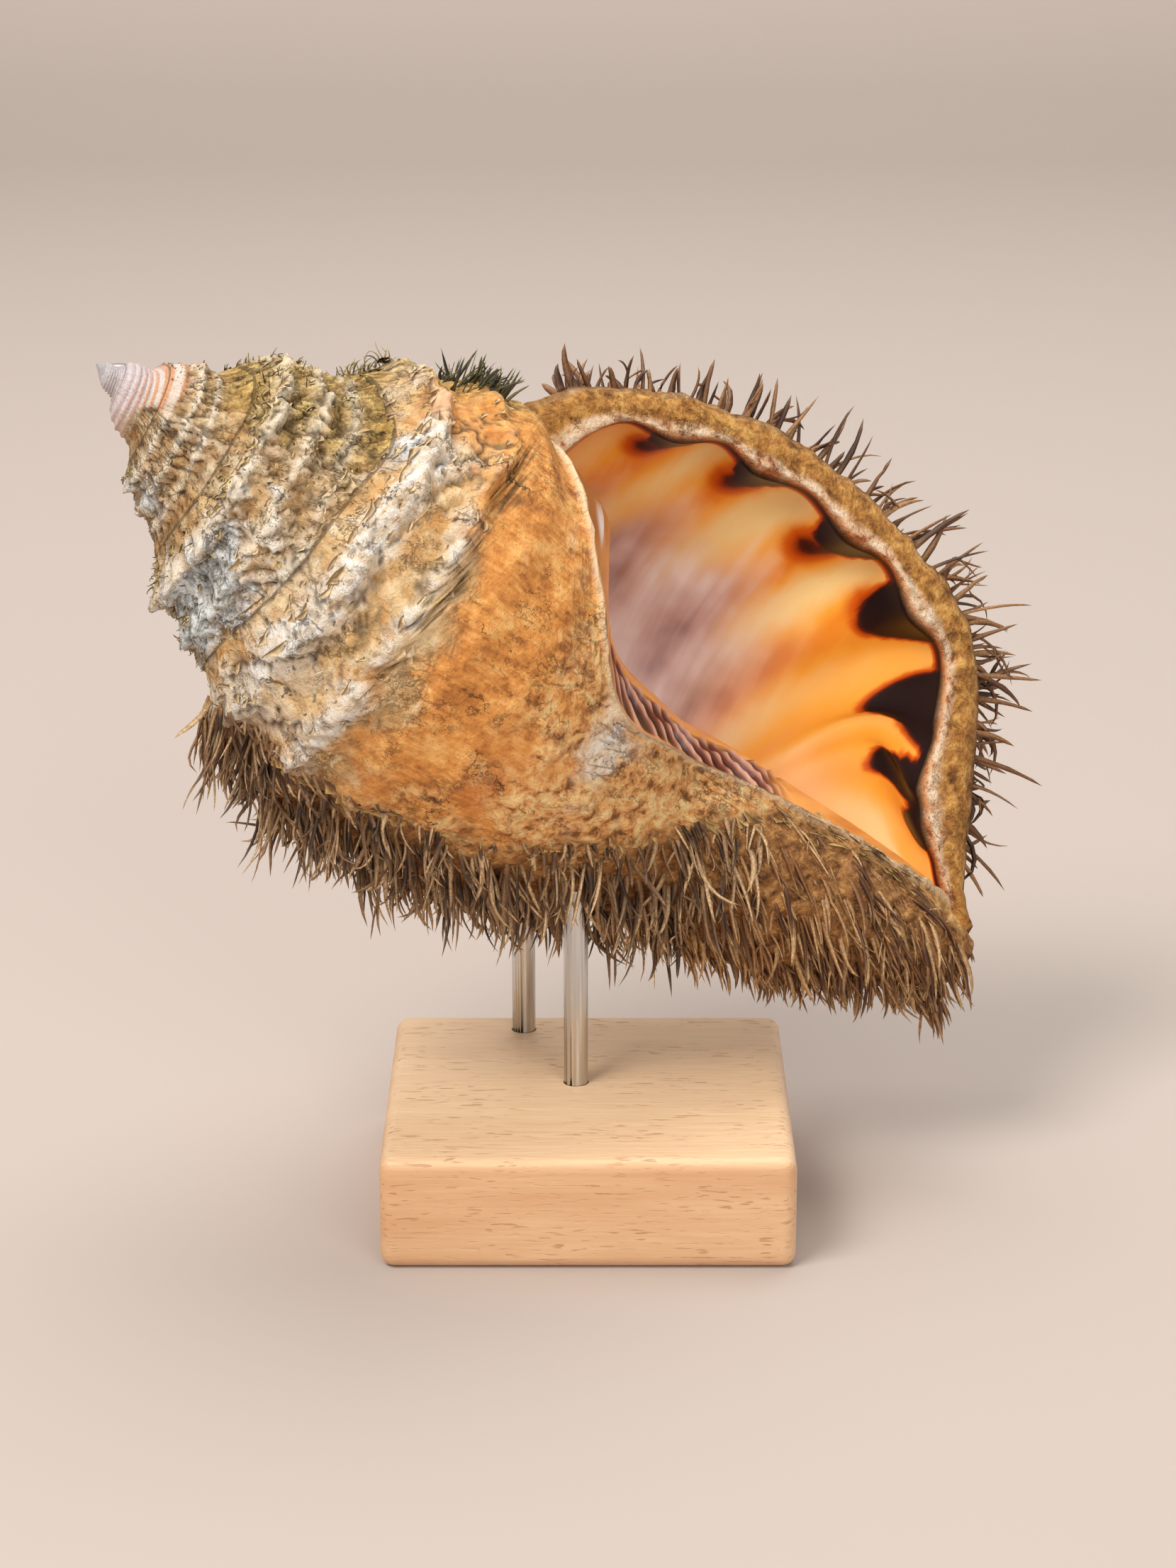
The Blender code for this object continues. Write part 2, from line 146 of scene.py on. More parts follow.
RIM = ((54, 22.5), (55.5, 28), (58, 32.5), (63, 36), (70, 39), (82, 41), (95, 40.5),
       (103, 38.3), (110.5, 34.5), (114.5, 28.5), (117, 20), (120, 16.5), (124.5, 11.5), (128, 8.8))
# Where the mouth's inner lip lies on the last whorl: height down the shell, and turn.
INNER_LIP = ((44, -1), (47, -0.975), (50.5, -0.92), (55, -0.862), (58.6, -0.824), (62.7, -0.793),
             (66.7, -0.762), (70.5, -0.74), (75.4, -0.731), (81.8, -0.747), (92, -0.792), (101, -0.828),
             (110, -0.862), (117, -0.875), (122, -0.9), (128, -0.955), (132, -1))
# Which way the mouth's flat side faces at each height, in turns.
MOUTH_WAY = ((50, 0.125), (62, 0.11), (72, 0.084), (100, 0.078))
LIP_COLUMN = -0.8
# Each dark tooth inside the lip: how far round the rim it is, its half width and its reach inwards.
TEETH = ((20.5, 3.6, 3.6), (33.0, 3.8, 4.2), (47.6, 4.6, 5.2), (60.2, 4.8, 9.0),
         (74.0, 5.4, 15.0), (82.6, 2.9, 17.0), (88.6, 3.4, 9.0))
# How high the flutes stand between the teeth, round the rim.
FLUTES = ((0, 0.6), (13, 1), (20.5, 0), (26.2, 1), (32, 0), (39.4, 1), (46.8, 0), (53.3, 1), (59.9, 0),
          (66.8, 1), (73.6, 0), (78.6, 1), (83.2, 0.1), (85.4, 0.4), (87.8, 0), (95, 1), (110, 0.6))
# The dark red spots behind the first teeth: how far round the rim, and how deep.
SPOTS = ((19.0, 4.6), (32.4, 4.8), (46.4, 6.4), (58.6, 6.0))
# Where the bristles begin on the last whorl: height down the shell, and turn.
HAIR_LINE = ((34, -0.51), (46, -0.515), (52, -0.528), (60, -0.539), (72, -0.556), (78, -0.577),
             (84.5, -0.596), (89, -0.643), (96, -0.74), (103, -0.81), (111, -0.85), (120, -0.87),
             (133.5, -0.9))
# Each pale or chalky patch of skin: its strength, its turn, how far down the whorl it is, and
# how wide it is in turns and down the whorl.
PALE_PATCHES = ((0.8, -0.72, 0.08, 0.09, 0.06), (0.6, -1.58, 0.16, 0.1, 0.2),
                (0.75, -0.50, 0.12, 0.06, 0.14), (0.5, -0.53, 0.30, 0.05, 0.08),
                (0.8, -0.71, 0.75, 0.05, 0.06), (0.35, -0.665, 0.72, 0.05, 0.06))
CHALK_PATCHES = ((1.5, -1.53, 0.17, 0.09, 0.12), (0.9, -1.62, 0.13, 0.05, 0.06),
                 (0.9, -1.60, 0.30, 0.05, 0.06), (1.4, -0.825, 0.02, 0.03, 0.03),
                 (0.9, -2.52, 0.2, 0.1, 0.2), (0.8, -1.46, 0.33, 0.06, 0.1))
# The turns at which a low old varix stands.
OLD_VARICES = (-0.47, -1.14, -1.52, -1.85, -2.5, -3.2)
# Each spiral cord: its place down the whorl, its width, and its height in millimetres.
CORDS = ((0.075, 0.034, 1.9), (0.22, 0.03, 1.25), (0.36, 0.03, 0.5), (0.50, 0.03, 0.3),
         (0.63, 0.03, 0.3), (0.76, 0.03, 0.3))


# In the functions below, g is a place's turn, which is 0 at the lip and less before it, h is how far
# down the shell's axis the place is, and t is how far down its whorl, from 0 at the seam to 1.
def smooth(low, high, x):
    """0 below low, 1 above high, and an S between them."""
    t = np.clip((np.asarray(x, float) - low) / (high - low), 0, 1)
    return t * t * (3 - 2 * t)


def bump(centre, width, x):
    """A round hump of height 1."""
    return np.exp(-(((x - centre) / width) ** 2))


def crest(centre, width, x):
    """A sharp ridge of height 1 with hollow sides."""
    return np.exp(-np.sqrt(((x - centre) / width) ** 2 + 0.04) + 0.2)


def through(points, x):
    """A smooth curve through (x, y) points that doesn't overshoot them."""
    xs, ys = np.array(points, float).T
    step = np.diff(xs)
    slope = np.diff(ys) / step
    tangent = np.concatenate([slope[:1], (slope[1:] + slope[:-1]) / 2, slope[-1:]])
    tangent[1:-1][slope[1:] * slope[:-1] <= 0] = 0
    x = np.clip(np.asarray(x, float), xs[0], xs[-1])
    k = np.clip(np.searchsorted(xs, x, side="right") - 1, 0, len(step) - 1)
    t = (x - xs[k]) / step[k]
    start = (1 + 2 * t) * (1 - t) ** 2 * ys[k] + t * (1 - t) ** 2 * step[k] * tangent[k]
    end = t * t * (3 - 2 * t) * ys[k + 1] - t * t * (1 - t) * step[k] * tangent[k + 1]
    return start + end


def even_height(g):
    """Where the seam between two turns would be if the shell had grown evenly."""
    return SEAM_HEIGHT * np.exp(SEAM_SLOPE * g - SEAM_CURVE * g * g)


def suture_height(g):
    """Where the seam is: it dips on the way over the front of the last two turns."""
    dips = 0.10 * bump(-0.83, 0.07, g) - 0.11 * bump(-0.53, 0.13, g)
    dips = dips + 0.04 * bump(-1.83, 0.08, g) - 0.05 * bump(-1.53, 0.13, g)
    return even_height(g) * (1 + dips)


def suture_radius(g):
    return even_height(g) * (0.70 - 0.10 * smooth(-1.6, 0, g))


def base_height(g):
    return np.where(g < -1, BASE_TO_SEAM * even_height(g), through(BASE_HEIGHT, g))


def down_whorl(g, h):
    """How far down the whorl a height is: 0 at its suture, 1 at the neck."""
    top = suture_height(g)
    return (h - top) / (base_height(g) - top)


def whorl_radius(g, h):
    t = down_whorl(g, h)
    inside = np.clip(t, 0, 1)
    lip = smooth(-0.28, 0, g)
    share = through(BODY_OUTLINE, inside) * (1 - lip) + through(LIP_OUTLINE, inside) * lip
    peak = BODY_PEAK * (1 - lip) + LIP_PEAK * lip
    widest = through(WIDEST, g)
    foot = np.where(t < peak, suture_radius(g), np.minimum(BASE_RADIUS, 0.3 * widest))
    return (foot + (widest - foot) * share) * np.exp(-6 * np.maximum(t - 1, 0))


def whorl_and_neck(g, h, necked=1.0):
    """The whorl run smoothly into the neck that carries the canal."""
    shift, radius = through(NECK_SHIFT, h), through(NECK_RADIUS, h)
    turned = g * math.tau - NECK_LEAN
    neck = np.sqrt(np.maximum(radius**2 - (shift * np.sin(turned)) ** 2, 0.01))
    neck = neck + shift * np.cos(turned)
    whorl = whorl_radius(g, h)
    both = np.logaddexp(whorl / NECK_BLEND, neck / NECK_BLEND) * NECK_BLEND
    return whorl * (1 - necked) + both * necked


def grown_radius(g, h):
    """The plain outside, which starts on its own suture and ends on the next one."""
    necked = smooth(-1.9, -1.2, g)
    top, bottom = suture_height(g), suture_height(g + 1)
    radius = whorl_and_neck(g, h, necked)
    missing = suture_radius(g) - whorl_and_neck(g, top, necked)
    radius = radius + missing * np.exp(-np.abs(h - top) / (0.06 * top))
    missing = suture_radius(g + 1) - whorl_and_neck(g, bottom, necked)
    missing = missing * smooth(-0.72, -1, g)
    radius = radius + missing * np.exp(-np.abs(h - bottom) / (0.1 * bottom))
    varix = smooth(-0.045, -0.012, g) * smooth(0, 8, h - top)
    varix = varix * smooth(SHELL_LENGTH + 1, SHELL_LENGTH - 14, h)
    return radius + VARIX_HEIGHT * varix


def mouth_side(g, h):
    """The flat side of the mouth, which cuts into the last whorl behind the inner lip."""
    edge, way = through(INNER_LIP, h), through(MOUTH_WAY, h)
    at_edge = grown_radius(edge, h) * np.cos((edge + 1 - way) * math.tau)
    flat = at_edge / np.maximum(np.cos((g + 1 - way) * math.tau), 0.05)
    return np.where(g < edge, flat, np.inf)


def outside_radius(g, h):
    return np.minimum(grown_radius(g, h), np.where(g > -1.3, mouth_side(g, h), np.inf))


def behind_lip(g, h):
    """How far round behind the inner lip a place on the last whorl is, in turns."""
    return through(INNER_LIP, h) - g


def shell_directions():
    """The shell's axis, the way out to its lip, and the way it grows there."""
    slope = math.cos(AXIS_SLOPE)
    axis = Vector((slope * math.cos(AXIS_YAW), slope * math.sin(AXIS_YAW), -math.sin(AXIS_SLOPE)))
    upright = Vector((0, 0, 1)) - axis.z * axis
    upright.normalize()
    lip = upright * math.cos(LIP_ROLL) + axis.cross(upright) * math.sin(LIP_ROLL)
    return np.array(axis), np.array(lip), np.array(axis.cross(lip))


AXIS, LIP_WAY, GROWING = shell_directions()


def outwards(g):
    """The direction straight out from the axis."""
    g = np.asarray(g, float)[..., None]
    return np.cos(g * math.tau) * LIP_WAY + np.sin(g * math.tau) * GROWING


def place(radius, g, h):
    """Points in metres, in the stand's frame, from the shell's own coordinates."""
    radius, g, h = np.broadcast_arrays(radius, g, h)
    return np.array(APEX) + (h[..., None] * AXIS + radius[..., None] * outwards(g)) * MM


def grain(points, size, octaves=3, seed=0.0):
    """Smooth noise of about -1 to 1 at points in metres, with lumps of this size in millimetres."""
    flat = points.reshape(-1, 3) / (size * MM) + seed
    lumps = [noise.fractal(Vector(p), 1.0, 2.0, octaves) for p in flat]
    return np.array(lumps).reshape(points.shape[:-1])


def patch(g, t, at_g, at_t, wide_g, wide_t):
    """A soft patch of 1 round one place on the whorls."""
    return np.exp(-(((g - at_g) / wide_g) ** 2) - ((t - at_t) / wide_t) ** 2)


def patches(g, t, places):
    """Soft patches added up, from their strengths, turns, ways down the whorl and two widths."""
    return sum(strength * patch(g, t, *where) for strength, *where in places)


def along_growth(g, h, stretch_round, stretch_down):
    """Points for a grain that is drawn out round the shell or down it."""
    round_shell = 30 * stretch_round
    return np.stack([np.cos(g * math.tau) * round_shell, np.sin(g * math.tau) * round_shell,
                     h * stretch_down + g * 40], -1) * MM


def smooth_zone(g, t, points):
    """The worn, smooth orange side of the last whorl, 0 to 1."""
    ragged = 0.08 * grain(points, 5, 4, 7.7)
    begins = 0.27 - 0.13 * smooth(-0.70, -0.83, g)
    zone = smooth(begins, begins + 0.08, t + ragged) * smooth(0.66, 0.50, t + 2 * ragged)
    return zone * smooth(-0.99, -0.9, g) * smooth(-0.53, -0.585, g + 0.2 * (t - 0.45) + ragged)


def plates(g, h, points):
    """The skin's plates: how near a gap between two of them is, 0 at the gap, and each one's shade."""
    size = (2.2 + 1.6 * smooth(12, 30, suture_height(g))) * MM
    places = along_growth(g, h, 0.55, 1) / size[..., None]
    places = places + 0.45 * grain(points, 2.4, 2, 5.1)[..., None]
    found = [noise.voronoi(Vector(at)) for at in places.reshape(-1, 3)]
    nearness = np.array([near[1] - near[0] for near, at in found])
    shade = np.array([7.31 * at[0].x + 3.7 * at[0].y + 5.3 * at[0].z for near, at in found])
    return nearness.reshape(g.shape), (shade % 1).reshape(g.shape)


def tip_cords(t):
    """The fine even cords of the bare tip, -1 to 1."""
    return np.cos(t * math.tau * 9)


def parietal_radius(g, h):
    """The mouth's inner wall: the whorl before, cut flat at the mouth, under its callus."""
    return np.minimum(whorl_and_neck(g, h), mouth_side(g, h)) + CALLUS


def columella_folds(g, h):
    """The oblique folds behind the inner lip: how far each stands up, and where they are, 0 to 1."""
    behind = behind_lip(g, h)
    folds = 0.5 + 0.5 * np.sin((h + 25 * behind + 0.5 * np.sin(0.7 * h)) * math.tau / 2.7)
    folded = smooth(68, 72, h) * smooth(102, 97, h) * smooth(0.004, 0.01, behind)
    return folds, folded * smooth(0.22, 0.17, behind)


def outside_relief(g, h, points):
    """Cords, ribs, varices and the skin's folds, in millimetres out from the plain outside."""
    t = down_whorl(g, h)
    top, bottom = suture_height(g), suture_height(g + 1)
    size = np.clip(top / 27, 0.02, 1.15)
    wobble = 0.018 * grain(points, 8, 3, 3.1)
    knobs = 1 + 0.3 * np.cos(g * math.tau * 13 + 2.2 * grain(points, 14, 2, 8.4))
    knobs = np.clip(knobs + 0.7 * grain(points, 4.5, 3, 6.2), 0.35, 1.35)
    spire = smooth(-0.98, -1.1, g)
    relief = np.zeros_like(t)
    tip = smooth(12, 7, h)
    fading = (1 - 0.7 * smooth(-0.45, -0.2, g)) * (1 - 0.8 * tip)
    for at, width, height in CORDS:
        crested = 0.6 * bump(at, 1.2 * width, t + wobble) + 0.5 * crest(at, 0.6 * width, t + wobble)
        shape = bump(at, width, t + wobble) * (1 - spire) + crested * spire
        relief += height * (1 + 0.55 * spire) * shape * size * knobs * fading
    for turn in OLD_VARICES:
        relief += 0.9 * size * bump(turn, 0.012, g) * smooth(0, 0.1, t)
    worn = smooth_zone(g, t, points)
    rough = (1 - 0.8 * worn) * (1 - 0.95 * tip)
    rugged = rough * (1 + 0.7 * spire) * size**0.55
    gap, shade = plates(g, h, points)
    plated = rugged * np.maximum(spire, smooth(0.34, 0.26, t) * smooth(-0.45, -0.55, g))
    relief += 0.6 * plated * (smooth(0.0, 0.22, gap) - 0.7 + 0.7 * (shade - 0.5))
    relief += 0.30 * rugged * grain(along_growth(g, h, 1, 0.18), 1.9, 3, 5.5)
    relief += 0.32 * rugged * grain(along_growth(g, h, 0.22, 1), 1.7, 3, 2.5)
    relief += 0.45 * rugged * grain(points, 3.6, 4, 1.7)
    relief = np.maximum(relief, 0) - 0.8 * (1 - np.exp(np.minimum(relief, 0) / 0.8))
    # The bare tip keeps its fine even cords.
    relief += 0.14 * tip * smooth(1.5, 4, h) * tip_cords(t)
    # A curl of skin stands off above the smooth zone, over a hollow.
    relief += 1.3 * patch(g, t, -0.812, 0.205, 0.014, 0.012) - 1.6 * patch(g, t, -0.808, 0.235, 0.012, 0.012)
    relief += 2.6 * patch(g, t, -0.825, 0.02, 0.012, 0.02) * (1 + 0.8 * grain(points, 1.5, 2, 4.4))
    # The skin ends at the inner lip, where a smooth callus lies over the whorl.
    on_base = smooth(-1.002, -1.0, g) * smooth(47, 52, h) * smooth(131, 127, h)
    behind = behind_lip(g, h)
    relief = relief * (1 - 0.93 * smooth(-0.002, 0.003, behind) * on_base)
    relief += CALLUS * smooth(-0.004, 0.003, behind) * on_base
    crusty = 1 + 0.7 * grain(points, 1.2, 2, 6.6)
    relief += 0.55 * bump(0.0, 0.004, behind) * on_base * crusty * smooth(48, 54, h)
    folds, folded = columella_folds(g, h)
    relief += 1.5 * (folds - 0.7) * folded * on_base
    relief += 0.7 * bump(59.0, 1.2, h) * bump(0.055, 0.02, behind) * on_base
    near_top = 1 - np.exp(-np.maximum(h - top, 0) / (0.014 * top))
    near_bottom = np.where(g <= -1, 1 - np.exp(-np.maximum(bottom - h, 0) / (0.009 * bottom)), 1)
    near_tip = smooth(SHELL_LENGTH, SHELL_LENGTH - 3, h)
    return relief * near_top * near_bottom * near_tip


def outside_marks(g, h, points, relief):
    """Where the outside is pale, orange, mossy, chalky, bare or bristly, and where painted shade darkens it,
    0 to 1 each.
    """
    t = down_whorl(g, h)
    top, bottom = suture_height(g), suture_height(g + 1)
    size = np.clip(top / 27, 0.02, 1.15)
    lumps, fine = grain(points, 4.5, 3, 11.0), grain(points, 1.5, 3, 21.0)
    drawn = grain(along_growth(g, h, 0.2, 1), 1.6, 3, 2.5)
    wobble = 0.018 * grain(points, 8, 3, 3.1)
    spire, last = smooth(-0.98, -1.1, g), smooth(-1.02, -0.98, g)
    up = outwards(g)[..., 2]
    folds, folded = columella_folds(g, h)
    behind, on_base = behind_lip(g, h), last * smooth(46, 50, h) * smooth(132, 128, h)
    tip = smooth(2, -2, h - 7.8 - 3.5 * up + 2.2 * lumps)
    second = 0.85 * np.maximum(smooth(-0.80, -0.66, g), spire)
    ridges = np.maximum(bump(0.075, 0.036, t + wobble), second * bump(0.22, 0.026, t + wobble))
    sharp = sum(crest(at, width, t + wobble) for at, width in ((0.075, 0.02), (0.22, 0.018), (0.36, 0.018)))
    pale = ridges * (1 - spire) + np.clip(sharp, 0, 1) * spire + patches(g, t, PALE_PATCHES)
    clouds = grain(points, 11, 2, 31.0)
    nearness, shade = plates(g, h, points)
    plated = np.maximum(spire, smooth(0.34, 0.26, t) * smooth(-0.45, -0.55, g))
    raised = relief / np.maximum(size**0.6, 0.1)
    pale = pale * smooth(-0.75, 0.1, clouds + 0.5 * last) + 0.6 * smooth(0.7, 2.0, raised)
    pale = pale + 0.42 * lumps + 0.3 * drawn + 0.12 * fine + 0.4 * plated * (shade - 0.6)
    pale = 0.9 * smooth(0.25, 1.0, pale)
    amber = smooth_zone(g, t, points)
    amber = np.maximum(amber, 0.8 * patch(g, t, -0.505, 0.20, 0.03, 0.045))
    at_seam = 1.3 * patch(g, t, -0.89, 0.15, 0.055, 0.12) + 0.5 * lumps
    amber = np.maximum(amber, 0.9 * smooth(0.2, 0.9, at_seam))
    glow = patch(g, t, -0.62, 0.545, 0.025, 0.035)
    moss = 0.95 * smooth(0.3, 0.66, up + 0.25 * lumps) * smooth(10, 16, h) * smooth(-0.86, -0.98, g)
    moss = np.maximum(moss, smooth(0.45, 0.9, lumps + 0.6 * drawn) * spire * 0.4)
    moss = np.maximum(moss, smooth(-0.35, -0.2, g) * smooth(0.1, 0.5, lumps + up) * smooth(50, 44, h) * 0.8)
    chalk = patches(g, t, CHALK_PATCHES) + 0.6 * lumps + 0.3 * fine + 0.2 * clouds
    chalk = smooth(0.45, 1.3, chalk)
    valley = np.clip(1 - ridges * 1.3, 0, 1) * spire
    cord = np.clip(sharp, 0, 1) * spire * smooth(-1.2, -0.1, drawn + 0.5 * clouds) * (1 - chalk)
    # The gap mark is painted shade: it darkens the seams between turns, the valleys between cords, the
    # hollows of the relief and the crevices between plates.
    gap = 1.1 * np.exp(-np.maximum(h - top, 0) / (0.035 * top)) + 0.8 * np.where(
        g <= -1, np.exp(-np.maximum(bottom - h, 0) / (0.025 * bottom)), 0)
    gap = smooth(0.4, 1.0, gap * (0.8 + 0.7 * lumps) + 0.5 * valley * (0.35 + drawn + 0.5 * fine))
    hollow = 0.75 * smooth(-0.1, -0.85, raised) * (0.4 + 0.6 * spire) * (1 - amber)
    crevice_shade = smooth(0.13, 0.02, nearness) * plated * smooth(-0.5, 0.35, lumps + 0.6 * clouds)
    gap = np.maximum(np.maximum(0.45 * gap * smooth(-0.3, 0.4, drawn), hollow), 0.95 * crevice_shade)
    gap = gap * smooth(-0.02, -0.12, g) * (1 - 0.6 * chalk)
    streaked = 0.8 * smooth(-0.11, -0.02, behind) * smooth(52, 60, h) * smooth(88, 78, h)
    hairy = smooth(-0.035, 0.02, g - through(HAIR_LINE, h) + 0.03 * lumps) * last * smooth(35, 39, h)
    hairy = hairy * smooth(0.002, -0.002, behind)
    chip = smooth(0.3, 0.8, bump(59.0, 1.3, h) * bump(0.055, 0.025, behind))
    pale = pale * (1 - 0.75 * amber * last)
    skinned = {"pale": pale, "moss": moss, "valley": valley, "cord": cord, "gap": gap}
    on_last = {"amber": amber, "glow": glow, "streaked": streaked}
    near_lip = {"cream_edge": bump(0.0, 0.004, behind), "columella": folded, "chip": chip,
                "callus": smooth(0.001, 0.005, behind)}
    return {**{name: value * (1 - tip) for name, value in skinned.items()},
            **{name: value * last for name, value in on_last.items()},
            **{name: value * on_base for name, value in near_lip.items()},
            "plate": shade * plated, "chalk": chalk, "tip": tip, "tip_cord": 0.5 + 0.5 * tip_cords(t),
            "hairy": hairy, "fold": folds}


def take(piece):
    """Selects this piece alone and makes it the active one."""
    bpy.ops.object.select_all(action="DESELECT")
    piece.select_set(True)
    bpy.context.view_layer.objects.active = piece


def edit_whole(piece, operator, **settings):
    """Runs one edit-mode operator on the whole of a piece."""
    take(piece)
    bpy.ops.object.mode_set(mode="EDIT")
    bpy.ops.mesh.select_all(action="SELECT")
    operator(**settings)
    bpy.ops.object.mode_set(mode="OBJECT")


def new_piece(name, points, faces, marks):
    """An object made from points and faces, with marks that are each a number at every point."""
    mesh = bpy.data.meshes.new(name)
    mesh.from_pydata(points.reshape(-1, 3).tolist(), [], faces)
    for mark, values in marks.items():
        layer = mesh.attributes.new(mark, "FLOAT", "POINT")
        layer.data.foreach_set("value", values.astype(np.float32))
    piece = bpy.data.objects.new(name, mesh)
    bpy.context.scene.collection.objects.link(piece)
    return piece


def skin_quads(rows, faces):
    """Quads between neighbours in a grid of corner numbers."""
    quads = np.stack([rows[:-1, :-1], rows[1:, :-1], rows[1:, 1:], rows[:-1, 1:]], -1)
    faces.extend(quads.reshape(-1, 4).tolist())


MARKS = ("pale", "amber", "glow", "moss", "chalk", "plate", "valley", "cord", "gap", "tip", "tip_cord",
         "hairy", "streaked", "cream_edge", "callus", "chip", "columella", "fold", "inside", "lip",
         "crust", "depth", "tooth", "flute", "turn", "down", "height")
shell_points, shell_faces = [], []
marks = {name: [] for name in MARKS}


def add_points(points, **values):
    """Adds a block of points with its marks, and gives the points' numbers."""
    first = sum(len(block) for block in shell_points)
    flat = points.reshape(-1, 3)
    shell_points.append(flat)
    for name, blocks in marks.items():
        value = np.broadcast_to(values.get(name, 0.0), points.shape[:-1])
        blocks.append(np.asarray(value, float).reshape(-1))
    return first + np.arange(len(flat)).reshape(points.shape[:-1])


growth = np.arange(-TURNS * COLUMNS, 1) / COLUMNS
last = len(growth) - 1 - COLUMNS
share_down = np.linspace(0, 1, WHORL_ROWS + 1)
share_base = 1 - (1 - np.linspace(0, 1, BASE_ROWS + 1)[1:]) ** 1.3
top, bottom = suture_height(growth)[:, None], suture_height(growth + 1)[:, None]
heights = np.hstack([top + (bottom - top) * share_down,
                     bottom + (SHELL_LENGTH - bottom) * share_base])
rounds = np.repeat(growth[:, None], heights.shape[1], axis=1)
# One column of the last turn's mesh is drawn along the inner lip, so that its edge is clean.
edge = through(INNER_LIP, heights)
before = -1 + (rounds + 1) * (edge + 1) / (LIP_COLUMN + 1)
after = edge + (rounds - LIP_COLUMN) * (-0.5 - edge) / (-0.5 - LIP_COLUMN)
drawn_to_lip = np.where(rounds < LIP_COLUMN, before, after)
near_mouth = smooth(43, 49, heights) * ((rounds > -1) & (rounds < -0.5))
rounds = rounds + (drawn_to_lip - rounds) * near_mouth


def outside_block(columns, rows):
    """Adds part of the outside, with its relief."""
    g, h = rounds[columns, rows], heights[columns, rows]
    radius = outside_radius(g, h)
    plain = place(radius, g, h)
    relief = outside_relief(g, h, plain)
    return add_points(place(radius + relief, g, h), turn=g, down=down_whorl(g, h), height=h,
                      **outside_marks(g, h, plain, relief))


whorls = outside_block(slice(None), slice(0, WHORL_ROWS))
skin_quads(np.hstack([whorls[: last + 1], whorls[COLUMNS:, :1]]), shell_faces)
base = outside_block(slice(last + 1, None), slice(WHORL_ROWS, -1))
start = outside_block(slice(last, last + 1), slice(WHORL_ROWS + 1, -1))[0]
canal_tip = outside_block(slice(last + 1, None), slice(-1, None))
outside = np.hstack([whorls[last + 1:], base, canal_tip])
parietal = np.concatenate([[whorls[-1, 0]], start, canal_tip[-1]])
first_column = np.concatenate([whorls[last], parietal])
skin_quads(np.vstack([first_column, outside]), shell_faces)
tip_ring = np.concatenate(shell_points)[canal_tip[:, 0]]
tip_middle = add_points(tip_ring.mean(axis=0)[None], height=SHELL_LENGTH, hairy=1.0)[0]
ring = np.append(canal_tip[:, 0], canal_tip[0, 0])
shell_faces.extend([int(a), int(b), int(tip_middle)] for a, b in zip(ring, ring[1:]))
apex_point = add_points(place(0.0, 0.0, 0.35)[None], tip=1.0, turn=-5.0)[0]
ring = np.concatenate([whorls[: COLUMNS + 1, 0], whorls[0, ::-1]])
shell_faces.extend([int(a), int(b), int(apex_point)] for a, b in zip(ring, ring[1:]))

# The lip's face runs from the outside's edge to the rim, and the cavity goes on from there.
down_out = (heights[-1] - heights[-1, 0]) / (heights[-1, -1] - heights[-1, 0])
down_in = (down_out[WHORL_ROWS + 1: -1] - down_out[WHORL_ROWS]) / (1 - down_out[WHORL_ROWS])
rim_heights = RIM[0][0] + (RIM[-1][0] - RIM[0][0]) * down_out
rim_radii = through(RIM, rim_heights)
rim_run = np.append(0, np.cumsum(np.hypot(np.diff(rim_heights), np.diff(rim_radii))))


def teeth(run, depth, wide=1.0):
    """How much of a dark tooth there is at this place round the rim and this depth, in mm."""
    total = np.zeros(np.broadcast(run, depth).shape)
    for at, width, reach in TEETH:
        slanted = at + 0.3 * depth * (at > 80)
        across, inwards = np.abs(run - slanted) / (width * wide), depth / (reach * wide)
        total = np.maximum(total, smooth(1.3, 0.6, across**2.0 + inwards**1.7))
    return total


def spots(run, depth):
    """The red spots behind the teeth, and the dark line along the rim, 0 to 1."""
    total = 0.62 * smooth(1.5, 0.5, depth) * smooth(8, 12, run)
    for at, deep in SPOTS:
        total = np.maximum(total, 0.66 * np.exp(-(((run - at) / 2.9) ** 2) - ((depth - deep) / 3.0) ** 2))
    return total


def cavity_ring(depth_turns):
    """One ring of the cavity: down its outer wall, and back up its columella."""
    g = -depth_turns
    corner = CAVITY_CORNER * suture_height(g)
    canal = base_height(g) - CANAL_END_WALL - 1.5 * WALL * smooth(0, -0.1, g)
    h = corner + (canal - corner) * down_out
    inner, outer = parietal_radius(g - 1, h), whorl_and_neck(g, h)
    room = np.maximum(outer - WALL - inner, 0.25 * (outer - inner))
    rounded = (1 - np.abs(2 * down_out - 1) ** CAVITY_ROUNDNESS) ** (1 / CAVITY_ROUNDNESS)
    at_lip = smooth(-0.07, 0, g)
    radius = (inner + np.maximum(room, 0.3) * rounded) * (1 - at_lip) + rim_radii * at_lip
    depth = depth_turns * math.tau * CAVITY_REACH
    away_from_ends = smooth(0, 6, rim_run) * smooth(rim_run[-1], rim_run[-1] - 6, rim_run)
    lobes = through(FLUTES, rim_run)
    radius = radius + FLUTE_HEIGHT * (lobes - 0.6) * smooth(FLUTE_REACH, 2, depth) * away_from_ends
    wall = add_points(place(radius, np.full_like(h, g), h), depth=depth, height=h, inside=1.0,
                      tooth=np.maximum(teeth(rim_run, depth), spots(rim_run, depth)), flute=lobes, turn=g)
    h_in = corner + (canal - corner) * down_in[::-1]
    g_in = g - 0.012
    inner = add_points(place(parietal_radius(g_in - 1, h_in), np.full_like(h_in, g_in), h_in), depth=depth,
                       inside=1.0, height=h_in, turn=g_in, callus=1.0)
    return np.concatenate([wall, inner])


